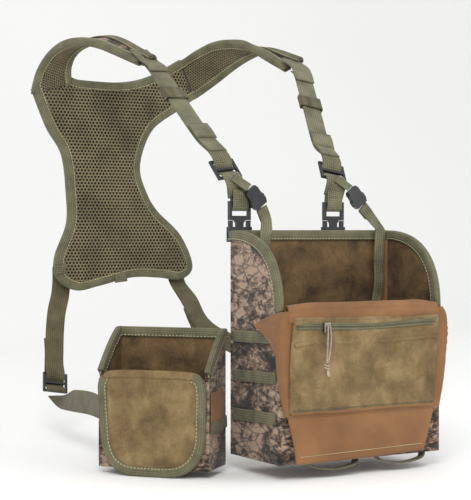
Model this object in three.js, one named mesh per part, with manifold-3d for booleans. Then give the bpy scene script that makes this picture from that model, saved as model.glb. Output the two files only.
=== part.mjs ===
// Binocular harness pack: an open chest pouch with its lid hanging forward, a side pouch,
// and a padded back yoke joined to them by webbing straps and buckles.
//
// Millimetres, +Z up, +X towards the wearer's left, -Y away from the wearer's chest.
// Right and left are the wearer's. The model is laid out from the floor of the main
// pouch and then lowered, so that the origin is on the face that rests on the chest.
import * as THREE from "three";
import { mergeVertices } from "three/addons/utils/BufferGeometryUtils.js";
import Module from "manifold-3d";

const wasm = await Module();
wasm.setup();

const V = (x, y, z) => new THREE.Vector3(x, y, z);
const GAP = 0.35; // between neighbouring solids

// Main pouch
const MAIN = { width: 215, depth: 100, height: 247, wall: 4, back: 5, hingeZ: 163,
  frontTop: 162.6 };
const CHEST_FACE_Z = 130;
// Side pouch for a rangefinder
const SIDE = { width: 128, depth: 55, height: 149, wall: 3, back: 3, hingeZ: 106,
  frontTop: 96 };
const SIDE_TURN = THREE.MathUtils.degToRad(-50);
const SIDE_PLACE = V(-161, 40, -10);
// Fabric tape folded over every raw edge
const TAPE = { reach: 9, skin: 1.5 };
// Webbing
const WEB = { wide: 25, narrow: 14, thick: 1.6 };
// Lid of the main pouch, hanging from its hinge
const LID = { width: 200, top: 162.5, seam: 50, bottom: 1, face: -104.6, sheet: 2.6 };
const LID_PIVOT = { y: -102.5, z: 167.6, roll: 4 };
const POCKET = { thick: 2.4, bottom: 4.5 };
const ZIP = { half: 92, bottom: 143, top: 149, thick: 1.2 };
const TONGUE = { right: -89, left: 80, rise: 3 };
const MAGNET = { right: -40, left: 30, bottom: 12, top: 22, thick: 1.5 };
// Back yoke
const YOKE = { y: 380, thick: 8, armThick: 6 };
// Side-release buckle
const BUCKLE = { width: 28, baseZ: 236, y: 7.4, height: 46, plate: 4.4 };
const SHOULDER_X = { right: -92, left: 36 };

const paint = (color, roughness, metalness = 0) =>
  new THREE.MeshStandardMaterial({ color, roughness, metalness });
const camo = () => paint(0x8a7565, 0.95);
const fleece = () => paint(0x77663f, 0.98);
const coyote = () => paint(0x9a6b42, 0.85);
const tape = () => paint(0x6f6d4e, 0.85);
const webbing = () => paint(0x7c7757, 0.8);
const mesh3d = () => paint(0x5e5537, 0.95);
const plastic = () => paint(0x1d1e20, 0.38);
const metal = () => paint(0x8e9094, 0.35, 1);
const cordage = () => paint(0x9a8572, 0.8);

const pack = new THREE.Group();
pack.position.z = -CHEST_FACE_Z;

function add(parent, name, geometry, material) {
  const mesh = new THREE.Mesh(geometry, material);
  mesh.name = name;
  parent.add(mesh);
  return mesh;
}

// A closed solid through rings of equal point counts, with flat ends or a closed loop.
function loft(rings, { loop = false } = {}) {
  const count = rings[0].length;
  const position = rings.flat().flatMap((p) => [p.x, p.y, p.z]);
  const index = [];
  const last = loop ? rings.length : rings.length - 1;
  for (let r = 0; r < last; r++) {
    const here = r * count;
    const next = ((r + 1) % rings.length) * count;
    for (let i = 0; i < count; i++) {
      const j = (i + 1) % count;
      index.push(here + i, here + j, next + j, here + i, next + j, next + i);
    }
  }
  if (!loop) {
    for (const [ring, start, flip] of [[rings[0], 0, true],
      [rings[rings.length - 1], (rings.length - 1) * count, false]]) {
      for (const [a, b, c] of THREE.ShapeUtils.triangulateShape(flatten(ring), [])) {
        index.push(start + a, start + (flip ? c : b), start + (flip ? b : c));
      }
    }
  }
  const geometry = new THREE.BufferGeometry();
  geometry.setAttribute("position", new THREE.Float32BufferAttribute(position, 3));
  geometry.setIndex(signedVolume(position, index) < 0 ? index.reverse() : index);
  geometry.computeVertexNormals();
  return geometry;
}

function signedVolume(position, index) {
  const at = (i) => V(...position.slice(3 * i, 3 * i + 3));
  let total = 0;
  for (let i = 0; i < index.length; i += 3) {
    total += at(index[i]).dot(at(index[i + 1]).cross(at(index[i + 2])));
  }
  return total / 6;
}

// A ring's points in its own plane, in the same turning direction as the ring.
function flatten(ring) {
  const normal = V(0, 0, 0);
  ring.forEach((p, i) => normal.add(p.clone().cross(ring[(i + 1) % ring.length])));
  normal.normalize();
  const u = ring[1].clone().sub(ring[0]).normalize();
  const v = normal.clone().cross(u);
  return ring.map((p) => new THREE.Vector2(p.dot(u), p.dot(v)));
}

const smooth = (points, steps) =>
  new THREE.CatmullRomCurve3(points, false, "centripetal").getPoints(steps);

function tangents(points, loop = false) {
  const n = points.length;
  return points.map((_, i) => {
    const before = loop ? points[(i + n - 1) % n] : points[Math.max(i - 1, 0)];
    const after = loop ? points[(i + 1) % n] : points[Math.min(i + 1, n - 1)];
    return after.clone().sub(before).normalize();
  });
}

// A flat strip along a line of points; across says which way its width lies.
function strip(points, width, thick, across) {
  const along = tangents(points);
  return loft(points.map((p, i) => {
    const side = across.clone().addScaledVector(along[i], -across.dot(along[i])).normalize();
    const face = along[i].clone().cross(side);
    const corner = (s, f) =>
      p.clone().addScaledVector(side, s * width / 2).addScaledVector(face, f * thick / 2);
    return [corner(-1, -1), corner(1, -1), corner(1, 1), corner(-1, 1)];
  }));
}

// A sheet of the given thickness between two edge lines.
function sheetBetween(edgeA, edgeB, thick, steps) {
  const a = smooth(edgeA, steps);
  const b = smooth(edgeB, steps);
  const middle = a.map((p, i) => p.clone().add(b[i]).multiplyScalar(0.5));
  const along = tangents(middle);
  return loft(a.map((p, i) => {
    const face = along[i].clone().cross(b[i].clone().sub(p)).normalize().multiplyScalar(thick / 2);
    const q = b[i];
    return [p.clone().sub(face), q.clone().sub(face), q.clone().add(face), p.clone().add(face)];
  }));
}

// Tape folded over the edge of a sheet: a U section that follows the edge. Each stop
// gives the edge point, the sheet's normal and the way out of the sheet.
function foldedTape(stops, sheet, loop = false) {
  const inner = sheet / 2 + GAP;
  const outer = inner + TAPE.skin;
  const section = [[-outer, -TAPE.reach], [-outer, GAP + TAPE.skin], [outer, GAP + TAPE.skin],
    [outer, -TAPE.reach], [inner, -TAPE.reach], [inner, GAP], [-inner, GAP],
    [-inner, -TAPE.reach]];
  return loft(stops.map(({ edge, normal, out }) => section.map(([n, o]) =>
    edge.clone().addScaledVector(normal, n).addScaledVector(out, o))), { loop });
}

// A plate cut from a shape drawn in X and Z, its thickness running from y towards -Y.
function plateXZ(shape, thick, y) {
  const geometry = new THREE.ExtrudeGeometry(shape, { depth: thick, bevelEnabled: false,
    curveSegments: 5 });
  return geometry.rotateX(Math.PI / 2).translate(0, y, 0);
}

// A plate cut from a shape drawn in Y and Z, its thickness running from x towards +X.
function plateYZ(shape, thick, x) {
  const geometry = new THREE.ExtrudeGeometry(shape, { depth: thick, bevelEnabled: false,
    curveSegments: 8 });
  const turn = new THREE.Matrix4().makeBasis(V(0, 1, 0), V(0, 0, 1), V(1, 0, 0));
  return geometry.applyMatrix4(turn).translate(x, 0, 0);
}

function shapeOf(points) {
  return new THREE.Shape(points.map(([a, b]) => new THREE.Vector2(a, b)));
}

function block(x0, x1, y0, y1, z0, z1) {
  return new THREE.BoxGeometry(x1 - x0, y1 - y0, z1 - z0)
    .translate((x0 + x1) / 2, (y0 + y1) / 2, (z0 + z1) / 2);
}

// One solid from several that meet, and one solid less another.
function asSolid(geometry) {
  const bare = geometry.clone();
  bare.deleteAttribute("normal");
  bare.deleteAttribute("uv");
  const merged = mergeVertices(bare, 1e-3);
  return new wasm.Manifold(new wasm.Mesh({
    numProp: 3,
    vertProperties: new Float32Array(merged.attributes.position.array),
    triVerts: new Uint32Array(merged.index.array),
  }));
}

function asGeometry(solid) {
  const { vertProperties, triVerts } = solid.getMesh();
  const geometry = new THREE.BufferGeometry();
  geometry.setAttribute("position", new THREE.Float32BufferAttribute(vertProperties, 3));
  geometry.setIndex([...triVerts]);
  geometry.computeVertexNormals();
  return geometry;
}

const join = (...geometries) => asGeometry(geometries.map(asSolid).reduce((a, b) => a.add(b)));
const cut = (from, ...tools) => asGeometry(tools.map(asSolid)
  .reduce((a, b) => a.subtract(b), asSolid(from)));

// ------------------------------------------------------------------ open pouches
// Rear, side, front and floor panels and the one tape round the mouth. The pouch
// stands with its rear face on y = 0 and its floor on z = 0. The panels are notched
// at the top rear corners, where the tapes of two edges cross.
function openPouch(parent, prefix, size, rimHandles) {
  const { width, depth, height, wall, back, hingeZ, frontTop } = size;
  const half = width / 2;
  const inside = half - wall - GAP;
  const cover = GAP + TAPE.skin;
  const notch = cover + GAP;
  const notchZ = height - TAPE.reach - 2 * GAP;
  const rim = new THREE.CubicBezierCurve(
    new THREE.Vector2(-depth, hingeZ), new THREE.Vector2(...rimHandles[0]),
    new THREE.Vector2(...rimHandles[1]), new THREE.Vector2(-back - notch, height)).getPoints(9);

  add(parent, `${prefix}_rear_panel`, plateXZ(shapeOf([[-half, 0], [half, 0], [half, notchZ],
    [inside - notch, notchZ], [inside - notch, height], [notch - inside, height],
    [notch - inside, notchZ], [-half, notchZ]]), back, 0), camo());
  const sideShape = () => shapeOf([[-depth, 0], [-back - GAP, 0], [-back - GAP, notchZ],
    [-back - notch, notchZ], ...[...rim].reverse().map((p) => [p.x, p.y])]);
  add(parent, `${prefix}_right_panel`, plateYZ(sideShape(), wall, -half), camo());
  add(parent, `${prefix}_left_panel`, plateYZ(sideShape(), wall, half - wall), camo());
  add(parent, `${prefix}_front_panel`,
    block(-inside, inside, -depth, wall - depth, 0, frontTop), camo());
  add(parent, `${prefix}_floor_panel`,
    block(-inside, inside, wall - depth + GAP, -back - GAP, 0, wall), camo());

  const sideTape = (sign) => {
    const line = [...rim.map((p) => V(0, p.x, p.y)), V(0, cover, height)];
    const along = tangents(line);
    return foldedTape(line.map((p, i) => ({ edge: p.setX(sign * (half - wall / 2)),
      normal: V(1, 0, 0), out: V(0, -along[i].z, along[i].y) })), wall);
  };
  const rearTape = foldedTape([-1, 1].map((sign) => ({
    edge: V(sign * (half - wall / 2), -back / 2, height),
    normal: V(0, 1, 0), out: V(0, 0, 1) })), back);
  add(parent, `${prefix}_rim_binding`, join(sideTape(-1), rearTape, sideTape(1)), tape());
}

openPouch(pack, "main", MAIN, [[-100, 215], [-70, 247]]);

const sidePouch = new THREE.Group();
sidePouch.position.copy(SIDE_PLACE);
sidePouch.rotation.z = SIDE_TURN;
pack.add(sidePouch);
openPouch(sidePouch, "side", SIDE, [[-49, 113], [-24, 140]]);

// Ladder webbing on the main pouch's right side, tacked down at both ends and the
// middle and standing a little off the panel between the tacks.
const LADDER = { heights: [46, 89, 132], wide: 13, reach: [-95, -7] };
LADDER.heights.forEach((z, row) => {
  const [front, rear] = LADDER.reach;
  const x = -MAIN.width / 2 - GAP - WEB.thick / 2;
  const line = [];
  for (let i = 0; i <= 8; i++) {
    const bow = 0.9 * Math.sin(Math.PI * i / 4) ** 2;
    line.push(V(x - bow, front + (rear - front) * i / 8, z + 3 * (1 - i / 8)));
  }
  add(pack, `right_ladder_row_${row + 1}`,
    strip(line, LADDER.wide, WEB.thick - 0.4, V(0, 0, 1)), webbing());
});

// ------------------------------------------------------------------ main lid
const lidHalf = LID.width / 2;
// The lid narrows from its hinge to its seam, by more on the left.
const TAPER = { right: -0.5, left: 6 };
const lidEdgeX = (sign, z) => sign * (lidHalf
  - (sign > 0 ? TAPER.left : TAPER.right) * (LID.top - z) / (LID.top - LID.seam));

const foldRoll = new THREE.CylinderGeometry(LID_PIVOT.roll, LID_PIVOT.roll, LID.width, 14)
  .rotateZ(Math.PI / 2).translate(0, LID_PIVOT.y, LID_PIVOT.z);
add(pack, "main_lid_hinge_fold", foldRoll, coyote());
const lidBack = LID.face;
const lidFront = LID.face - LID.sheet;
add(pack, "main_lid_panel", plateXZ(shapeOf([[lidEdgeX(-1, LID.seam), LID.seam],
  [lidEdgeX(1, LID.seam), LID.seam], [lidHalf, LID.top], [-lidHalf, LID.top]]),
LID.sheet, lidBack), coyote());
const pocketBack = lidFront - GAP;
add(pack, "main_lid_pocket", plateXZ(shapeOf([[-lidHalf + 0.5, LID.seam + POCKET.bottom],
  [lidHalf - 8, LID.seam + POCKET.bottom - 0.5], [lidHalf - 1, ZIP.top + 3],
  [-lidHalf + 5, ZIP.top + 7]]), POCKET.thick, pocketBack), fleece());
const zipY = pocketBack - POCKET.thick - GAP;
add(pack, "pocket_zip_track",
  block(-ZIP.half, ZIP.half, zipY - ZIP.thick, zipY, ZIP.bottom, ZIP.top), tape());
const slider = { x: -56, z: (ZIP.bottom + ZIP.top) / 2 };
add(pack, "pocket_zip_slider", cut(
  block(slider.x - 4, slider.x + 4, zipY - 5, zipY - ZIP.thick - GAP, slider.z - 6, slider.z + 5),
  block(slider.x - 5, slider.x + 5, zipY - 3.6, zipY - 2.6, slider.z - 4.4, slider.z - 1.6)),
metal());

// The zip's pull cord hangs from the slider down to its knot.
const PULL = { thick: 2, drop: 40, knot: 4 };
const pullY = zipY - 5 - GAP - PULL.thick / 2;
const pullTop = slider.z + 1;
const pullLine = smooth([V(slider.x, pullY, pullTop), V(slider.x - 0.5, pullY, pullTop - 12),
  V(slider.x - 1.2, pullY, pullTop - 26), V(slider.x - 2, pullY, pullTop - PULL.drop)], 12);
const cordSection = new THREE.Shape().absarc(0, 0, PULL.thick / 2, 0, 2 * Math.PI);
add(pack, "zip_pull_cord", new THREE.ExtrudeGeometry(cordSection, { curveSegments: 4,
  steps: 12, bevelEnabled: false, extrudePath: new THREE.CatmullRomCurve3(pullLine) }), cordage());
add(pack, "zip_pull_knot", new THREE.CylinderGeometry(1.6, PULL.knot / 2, 14, 8)
  .rotateX(Math.PI / 2)
  .translate(slider.x - 2, pullY, pullTop - PULL.drop - GAP - 7), cordage());

// Side gussets, turned inside out with the lid, fold round the pouch's front corners.
function gusset(name, sign) {
  // height, then how far the free edge reaches back and how far it stands out
  const rows = [[161, -103, 110], [155, -80, 113], [145, -59, 114], [135, -86, 113.6],
    [127, -101, 112.6], [92, -102.6, 112], [54, -104, 106]];
  const skin = 1.3;
  const rings = rows.map(([z, y, x]) => {
    const root = sign * lidEdgeX(sign, z) + 0.6;
    const bendX = Math.max(x - 1.2, root + 1.5);
    const line = [V(sign * root, -106.4, z), V(sign * bendX, -105.6, z),
      V(sign * Math.max(x, bendX + 0.6), y, z)];
    const lifts = [V(0, -skin, 0), V(sign * skin, -skin, 0), V(sign * skin, 0, 0)];
    return [...line, ...line.map((p, i) => p.clone().add(lifts[i])).reverse()];
  });
  add(pack, name, loft(rings), coyote());
}
gusset("right_lid_gusset", -1);
gusset("left_lid_gusset", 1);

// The tongue at the lid's free edge folds down over the rear panel when the lid closes,
// and its magnetic strip holds it there.
add(pack, "lid_tongue", plateXZ(shapeOf([[TONGUE.right, LID.bottom],
  [TONGUE.left, LID.bottom + TONGUE.rise], [lidEdgeX(1, LID.seam), LID.seam - 2 * GAP],
  [lidEdgeX(-1, LID.seam), LID.seam - 2 * GAP]]), LID.sheet, lidBack), coyote());
add(pack, "tongue_magnet_strip", block(MAGNET.right, MAGNET.left, lidBack + GAP,
  lidBack + GAP + MAGNET.thick, MAGNET.bottom, MAGNET.top), metal());

// ------------------------------------------------------------------ side pouch lid
const sideHalf = SIDE.width / 2;
const SIDE_LID = { half: 61, top: SIDE.hingeZ - 2, bottom: -6, corner: 38, sheet: 3,
  back: -SIDE.depth - 4 };
const sideLidShape = new THREE.Shape();
sideLidShape.moveTo(-SIDE_LID.half + 6, SIDE_LID.top);
sideLidShape.quadraticCurveTo(-SIDE_LID.half, SIDE_LID.top, -SIDE_LID.half, SIDE_LID.top - 16);
sideLidShape.lineTo(-SIDE_LID.half + 4, SIDE_LID.bottom + SIDE_LID.corner);
sideLidShape.bezierCurveTo(-SIDE_LID.half + 8, SIDE_LID.bottom + 8, -SIDE_LID.half + 24,
  SIDE_LID.bottom, -14, SIDE_LID.bottom);
sideLidShape.lineTo(14, SIDE_LID.bottom);
sideLidShape.bezierCurveTo(SIDE_LID.half - 20, SIDE_LID.bottom, SIDE_LID.half - 3,
  SIDE_LID.bottom + 12, SIDE_LID.half + 1, SIDE_LID.bottom + SIDE_LID.corner + 6);
sideLidShape.lineTo(SIDE_LID.half - 2, SIDE_LID.top - 3);
sideLidShape.closePath();
add(sidePouch, "side_lid_panel", plateXZ(sideLidShape, SIDE_LID.sheet, SIDE_LID.back), fleece());
const lidRim = sideLidShape.curves.slice(1).flatMap((curve) =>
  curve.getPoints(curve.type === "LineCurve" ? 1 : 7).slice(0, -1))
  .map((p) => V(p.x, SIDE_LID.back - SIDE_LID.sheet / 2, p.y));
const rimAlong = tangents(lidRim);
add(sidePouch, "side_lid_binding", foldedTape(lidRim.map((edge, i) => ({ edge,
  normal: V(0, 1, 0), out: V(rimAlong[i].z, 0, -rimAlong[i].x) })), SIDE_LID.sheet), tape());

// ------------------------------------------------------------------ back yoke
// An hourglass panel in the plane of the back. It is drawn in X and Z: down the
// right edge, along the foot, up the left edge to the left arm, and back over the neck.
const point3 = ([x, z]) => V(x, YOKE.y, z);
const flankAndFoot = [[-182, 435], [-161, 386], [-139, 350], [-132, 298], [-132, 257],
  [-149, 213], [-146, 186], [-121, 172], [-90, 177], [-39, 188], [4, 187], [36, 184],
  [52, 200], [33, 241], [-3, 274], [-20, 300], [-30, 331], [-23, 364], [-5, 393],
  [33, 418], [58, 435]].map(point3);
const neck = [[37, 482], [-10, 457], [-55, 446], [-114, 446], [-129, 449]].map(point3);
const yokeEdge = [...smooth(flankAndFoot, 44), ...smooth(neck, 10)];
add(pack, "yoke_panel", plateXZ(shapeOf(yokeEdge.map((p) => [p.x, p.z])), YOKE.thick,
  YOKE.y + YOKE.thick / 2), mesh3d());
const yokeAlong = tangents(yokeEdge, true);
add(pack, "yoke_binding", foldedTape(yokeEdge.map((edge, i) => ({ edge, normal: V(0, 1, 0),
  out: V(yokeAlong[i].z, 0, -yokeAlong[i].x) })), YOKE.thick, true), tape());

// Padded arms carry on from the yoke's top corners, over the shoulders and forward.
// Each is given by its outer and its inner edge.
const armClear = TAPE.skin + 2.5 * GAP;
add(pack, "right_arm_pad", sheetBetween(
  [[-181, 380 , 437 + armClear], [-176, 378, 457], [-167, 368, 477], [-157, 352, 489],
    [-151, 325, 492], [-145, 297, 488], [-139, 272, 482], [-134, 250, 474], [-127, 225, 464],
    [-121, 198, 454]].map((p) => V(...p)),
  [[-131, 380, 451 + armClear], [-132, 376, 466], [-130, 367, 480], [-125, 350, 490],
    [-118, 315, 495], [-114, 280, 493], [-111, 245, 483], [-108, 215, 471],
    [-104, 188, 460]].map((p) => V(...p)), YOKE.armThick, 20), mesh3d());
add(pack, "left_arm_pad", sheetBetween(
  [[40 + armClear, 380, 482 + armClear / 2], [51, 355, 495], [64, 325, 504], [77, 285, 501],
    [82, 262, 491], [90, 238, 476], [97, 205, 459]].map((p) => V(...p)),
  [[61 + armClear, 380, 435], [79, 355, 453], [93, 320, 474], [100, 290, 485], [104, 265, 490],
    [110, 238, 485], [120, 200, 472]].map((p) => V(...p)), YOKE.armThick, 20), mesh3d());

// ------------------------------------------------------------------ shoulder straps
// Each strap leaves its arm pad, runs straight down to the strap adjuster, weaves
// through its three bars and ends round the top bar of the chest buckle.
const ADJUSTER = { half: 13, bar: 3, thick: 3, inside: 26.5, rail: 3 };

function strapFrame(along, across) {
  const down = along.clone().normalize();
  const side = across.clone().addScaledVector(down, -across.dot(down)).normalize();
  return { down, side, face: side.clone().cross(down) };
}

// Three bars between two rails, in a frame of its own, laid on the strap's line.
function adjuster(name, centre, frame) {
  const outer = ADJUSTER.inside / 2 + ADJUSTER.rail;
  const shape = shapeOf([[-outer, -ADJUSTER.half], [outer, -ADJUSTER.half],
    [outer, ADJUSTER.half], [-outer, ADJUSTER.half]]);
  const inside = ADJUSTER.inside / 2;
  const slot = ADJUSTER.half - ADJUSTER.bar;
  for (const sign of [-1, 1]) {
    const [near, far] = [sign * ADJUSTER.bar / 2, sign * slot];
    shape.holes.push(new THREE.Path([[-inside, near], [inside, near], [inside, far],
      [-inside, far]].map(([a, b]) => new THREE.Vector2(a, b))));
  }
  const geometry = new THREE.ExtrudeGeometry(shape, { depth: ADJUSTER.thick,
    bevelEnabled: false }).translate(0, 0, -ADJUSTER.thick / 2);
  const turn = new THREE.Matrix4().makeBasis(frame.side, frame.down, frame.face);
  return add(pack, name, geometry.applyMatrix4(turn).translate(...centre), plastic());
}

// How far along and how far off the adjuster's plane the strap's middle runs.
const WEAVE = [[-24, -3.1], [-9.8, -3.1], [-2.4, 3.1], [2.4, 3.1], [9.8, -3.1], [22, -3.1]];

function shoulderStrap(side, route, centre, tail) {
  const start = route[route.length - 1];
  const frame = strapFrame(tail[0].clone().sub(start), V(1, 0, 0));
  const woven = WEAVE.map(([d, n]) => centre.clone().addScaledVector(frame.down, d)
    .addScaledVector(frame.face, n));
  add(pack, `${side}_shoulder_strap`,
    strip([...route, ...woven, ...tail], WEB.wide, WEB.thick, frame.side), webbing());
  adjuster(`${side}_strap_adjuster`, centre, frame);
}

const RIGHT_RUN = { from: V(-110.5, 172, 445), to: V(-107.5, 60, 355) };
const LEFT_RUN = { from: V(99, 165, 443), to: V(60, 66, 351) };
shoulderStrap("right", [V(-111, 186, 451.5), RIGHT_RUN.from, RIGHT_RUN.to],
  V(-101.5, 22, 318), [V(-94, 9.5, 288)]);
shoulderStrap("left", [V(104, 182, 452), LEFT_RUN.from, LEFT_RUN.to],
  V(47, 25, 318), [V(37.5, 9.5, 288)]);

// A keeper is a sleeve of webbing that slides on the straight run of its strap.
const KEEPER = { long: 22, play: 0.8, skin: 1.6, at: 0.38 };
function keeper(side, run) {
  const frame = strapFrame(run.to.clone().sub(run.from), V(1, 0, 0));
  const halfIn = [WEB.wide / 2 + KEEPER.play, WEB.thick / 2 + KEEPER.play];
  const box = (a, b, long) => new THREE.BoxGeometry(2 * a, long, 2 * b);
  const sleeve = cut(box(halfIn[0] + KEEPER.skin, halfIn[1] + KEEPER.skin, KEEPER.long),
    box(halfIn[0], halfIn[1], KEEPER.long + 2));
  const turn = new THREE.Matrix4().makeBasis(frame.side, frame.down, frame.face);
  add(pack, `${side}_strap_keeper`, sleeve.applyMatrix4(turn)
    .translate(...run.from.clone().lerp(run.to, KEEPER.at)), webbing());
}
keeper("right", RIGHT_RUN);
keeper("left", LEFT_RUN);

// ------------------------------------------------------------------ chest buckles
// The socket is held on the rear panel's back by a webbing tab. The plug hangs from
// the strap and is held by two springy prongs that are squeezed to let it go.
const PLUG = { frame: [26, 46], stem: 4.4, open: [29.5, 42.6], wide: 10.6 };
function buckle(side, x) {
  const group = new THREE.Group();
  group.position.set(x, BUCKLE.y, BUCKLE.baseZ);
  pack.add(group);
  const half = BUCKLE.width / 2;
  const shell = 4.6;
  const socket = shapeOf([[-shell, 0], [shell, 0], [shell, 17], [2.7, 17], [2.7, 4], [-2.7, 4],
    [-2.7, 17], [-shell, 17]]);
  add(group, `${side}_buckle_socket`, plateYZ(socket, BUCKLE.width, -half), plastic());
  const plug = shapeOf([[-PLUG.stem, 4.6], [PLUG.stem, 4.6], [PLUG.stem, 21], [7, 24.6],
    [half, 24.6], [half, PLUG.frame[1]], [-half, PLUG.frame[1]], [-half, 24.6], [-7, 24.6],
    [-PLUG.stem, 21]]);
  plug.holes.push(new THREE.Path([[-PLUG.wide, PLUG.open[0]], [PLUG.wide, PLUG.open[0]],
    [PLUG.wide, PLUG.open[1]], [-PLUG.wide, PLUG.open[1]]]
    .map(([a, b]) => new THREE.Vector2(a, b))));
  add(group, `${side}_buckle_plug`, plateXZ(plug, BUCKLE.plate, BUCKLE.plate / 2), plastic());
  for (const [which, sign] of [["outer", -1], ["inner", 1]]) {
    const prong = shapeOf([[9.4, 6], [12.6, 6.4], [14.6, 13], [13.6, 16], [13.8, 24.2],
      [9.6, 24.2], [9.4, 14]].map(([a, b]) => [sign * a, b]));
    add(group, `${side}_buckle_prong_${which}`,
      plateXZ(prong, BUCKLE.plate, BUCKLE.plate / 2), plastic());
  }
  add(pack, `${side}_buckle_tab`, block(x - WEB.wide / 2, x + WEB.wide / 2, GAP,
    GAP + WEB.thick, 196, BUCKLE.baseZ - GAP), webbing());
}
buckle("right", SHOULDER_X.right);
buckle("left", SHOULDER_X.left);

// ------------------------------------------------------------------ binocular tethers
// Narrow straps from the adjusters into the pouch, each with a small snap buckle.
function tether(side, upper, centre, lower) {
  const narrow = (line) => strip(line, WEB.narrow, 1.2, V(1, 0, 0));
  add(pack, `${side}_tether_upper`, narrow(upper), webbing());
  add(pack, `${side}_tether_lower`, narrow(lower), webbing());
  const down = lower[0].clone().sub(upper[upper.length - 1]);
  const { side: wide, down: long, face } = strapFrame(down, V(1, 0, 0));
  const half = down.length() / 2 - 5 * GAP;
  const outline = shapeOf([[-7, -half], [7, -half], [8.5, -half + 4], [8.5, -1], [10, 1],
    [10, half - 5], [8, half], [-8, half], [-10, half - 5], [-10, 1], [-8.5, -1],
    [-8.5, -half + 4]]);
  const body = new THREE.ExtrudeGeometry(outline, { depth: 6, bevelEnabled: false })
    .translate(0, 0, -3);
  add(pack, `${side}_tether_buckle`, body.applyMatrix4(
    new THREE.Matrix4().makeBasis(wide, long, face)).translate(...centre), plastic());
}
tether("right", [V(-99, 8.2, 308.6), V(-92, 3.5, 303), V(-84.5, -1, 297)],
  V(-76, -1, 286), [V(-67.5, -1, 275), V(-62, -1, 263), V(-63, -4, 255.5),
    V(-66, -8.6, 250.2), V(-70, -12, 240), V(-70, -12.5, 195)]);
tether("left", [V(43, 10.6, 310.2), V(50, 6, 304), V(55.5, 1, 298.5)],
  V(64, 0.5, 288), [V(72.5, 0, 277.5), V(84, 0, 266), V(91, -4, 255.5),
    V(92, -8.6, 250.2), V(89, -12.5, 240), V(84, -13, 165)]);

// ------------------------------------------------------------------ side straps
// From the yoke's foot: the right one to the side pouch through an adjuster, with a
// twist below it, and the left one behind the main pouch to its left side.
const BEHIND_YOKE = YOKE.y + YOKE.thick / 2 + GAP + TAPE.skin + GAP + WEB.thick;
const SIDE_ADJUSTER = V(-170.5, 338, 52);
const sideRun = smooth([V(-139, BEHIND_YOKE, 200), V(-140, BEHIND_YOKE, 168),
  V(-152, 377, 134), V(-163, 357, 92), V(-168, 346, 68)], 10);
const sideFrame = strapFrame(sideRun[10].clone().sub(sideRun[8]), V(1, 0, 0.1));
add(pack, "right_side_strap", strip([...sideRun.slice(0, -1), ...WEAVE.slice(1).map(([d, n]) =>
  SIDE_ADJUSTER.clone().addScaledVector(sideFrame.down, d * (d > 20 ? 0.6 : 1))
    .addScaledVector(sideFrame.face, n))], WEB.wide, WEB.thick, sideFrame.side), webbing());
adjuster("side_strap_adjuster", SIDE_ADJUSTER, sideFrame);
add(pack, "right_side_strap_lower", sheetBetween(
  [[-183, 331, 36], [-182, 300, 25], [-187, 250, 26], [-196, 180, 30], [-213, 104, 32]]
    .map((p) => V(...p)),
  [[-158, 331, 35], [-166, 300, 43], [-182, 250, 51], [-194, 180, 56], [-212.5, 104, 57]]
    .map((p) => V(...p)), WEB.thick, 14), webbing());
const RING = { long: 32, out: 14, thick: 3, slot: [26, 5] };
const ringShape = shapeOf([[-sideHalf - 3 - RING.out, 40], [-sideHalf - 3, 40],
  [-sideHalf - 3, 40 + RING.long], [-sideHalf - 3 - RING.out, 40 + RING.long]]);
const slotX = -sideHalf - 3 - (RING.out - RING.slot[1]) / 2;
const slotZ = 40 + (RING.long - RING.slot[0]) / 2;
ringShape.holes.push(new THREE.Path([[slotX, slotZ], [slotX, slotZ + RING.slot[0]],
  [slotX - RING.slot[1], slotZ + RING.slot[0]], [slotX - RING.slot[1], slotZ]]
  .map(([a, b]) => new THREE.Vector2(a, b))));
add(sidePouch, "side_pouch_strap_ring", plateXZ(ringShape, RING.thick, -1), plastic());
add(pack, "left_side_strap", sheetBetween(
  [[24, BEHIND_YOKE, 196], [24, BEHIND_YOKE, 178], [18, 340, 150], [16, 300, 121],
    [20, 255, 100], [40, 180, 80], [72, 95, 73], [103, 25, 78], [110.6, 4, 82], [110.6, -14, 84]]
    .map((p) => V(...p)),
  [[49, BEHIND_YOKE, 196], [48, BEHIND_YOKE, 178], [43, 345, 157], [40, 310, 131],
    [40, 262, 116], [50, 185, 104], [75, 98, 99], [103, 25, 104], [110.6, 4, 108],
    [110.6, -14, 110]].map((p) => V(...p)), WEB.thick, 24), webbing());

export default pack;
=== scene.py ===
# Binocular harness pack: an open chest pouch with its lid hanging forward, a side pouch
# and a padded mesh yoke, joined by webbing and buckles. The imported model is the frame;
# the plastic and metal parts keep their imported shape, and every cloth part is rebuilt
# here. Routes are in millimetres from the floor of the main pouch, with right and left
# the wearer's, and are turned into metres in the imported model's frame by place().
import math

import bmesh
import bpy
import numpy as np
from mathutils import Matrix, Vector, noise
from mathutils.geometry import delaunay_2d_cdt


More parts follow.
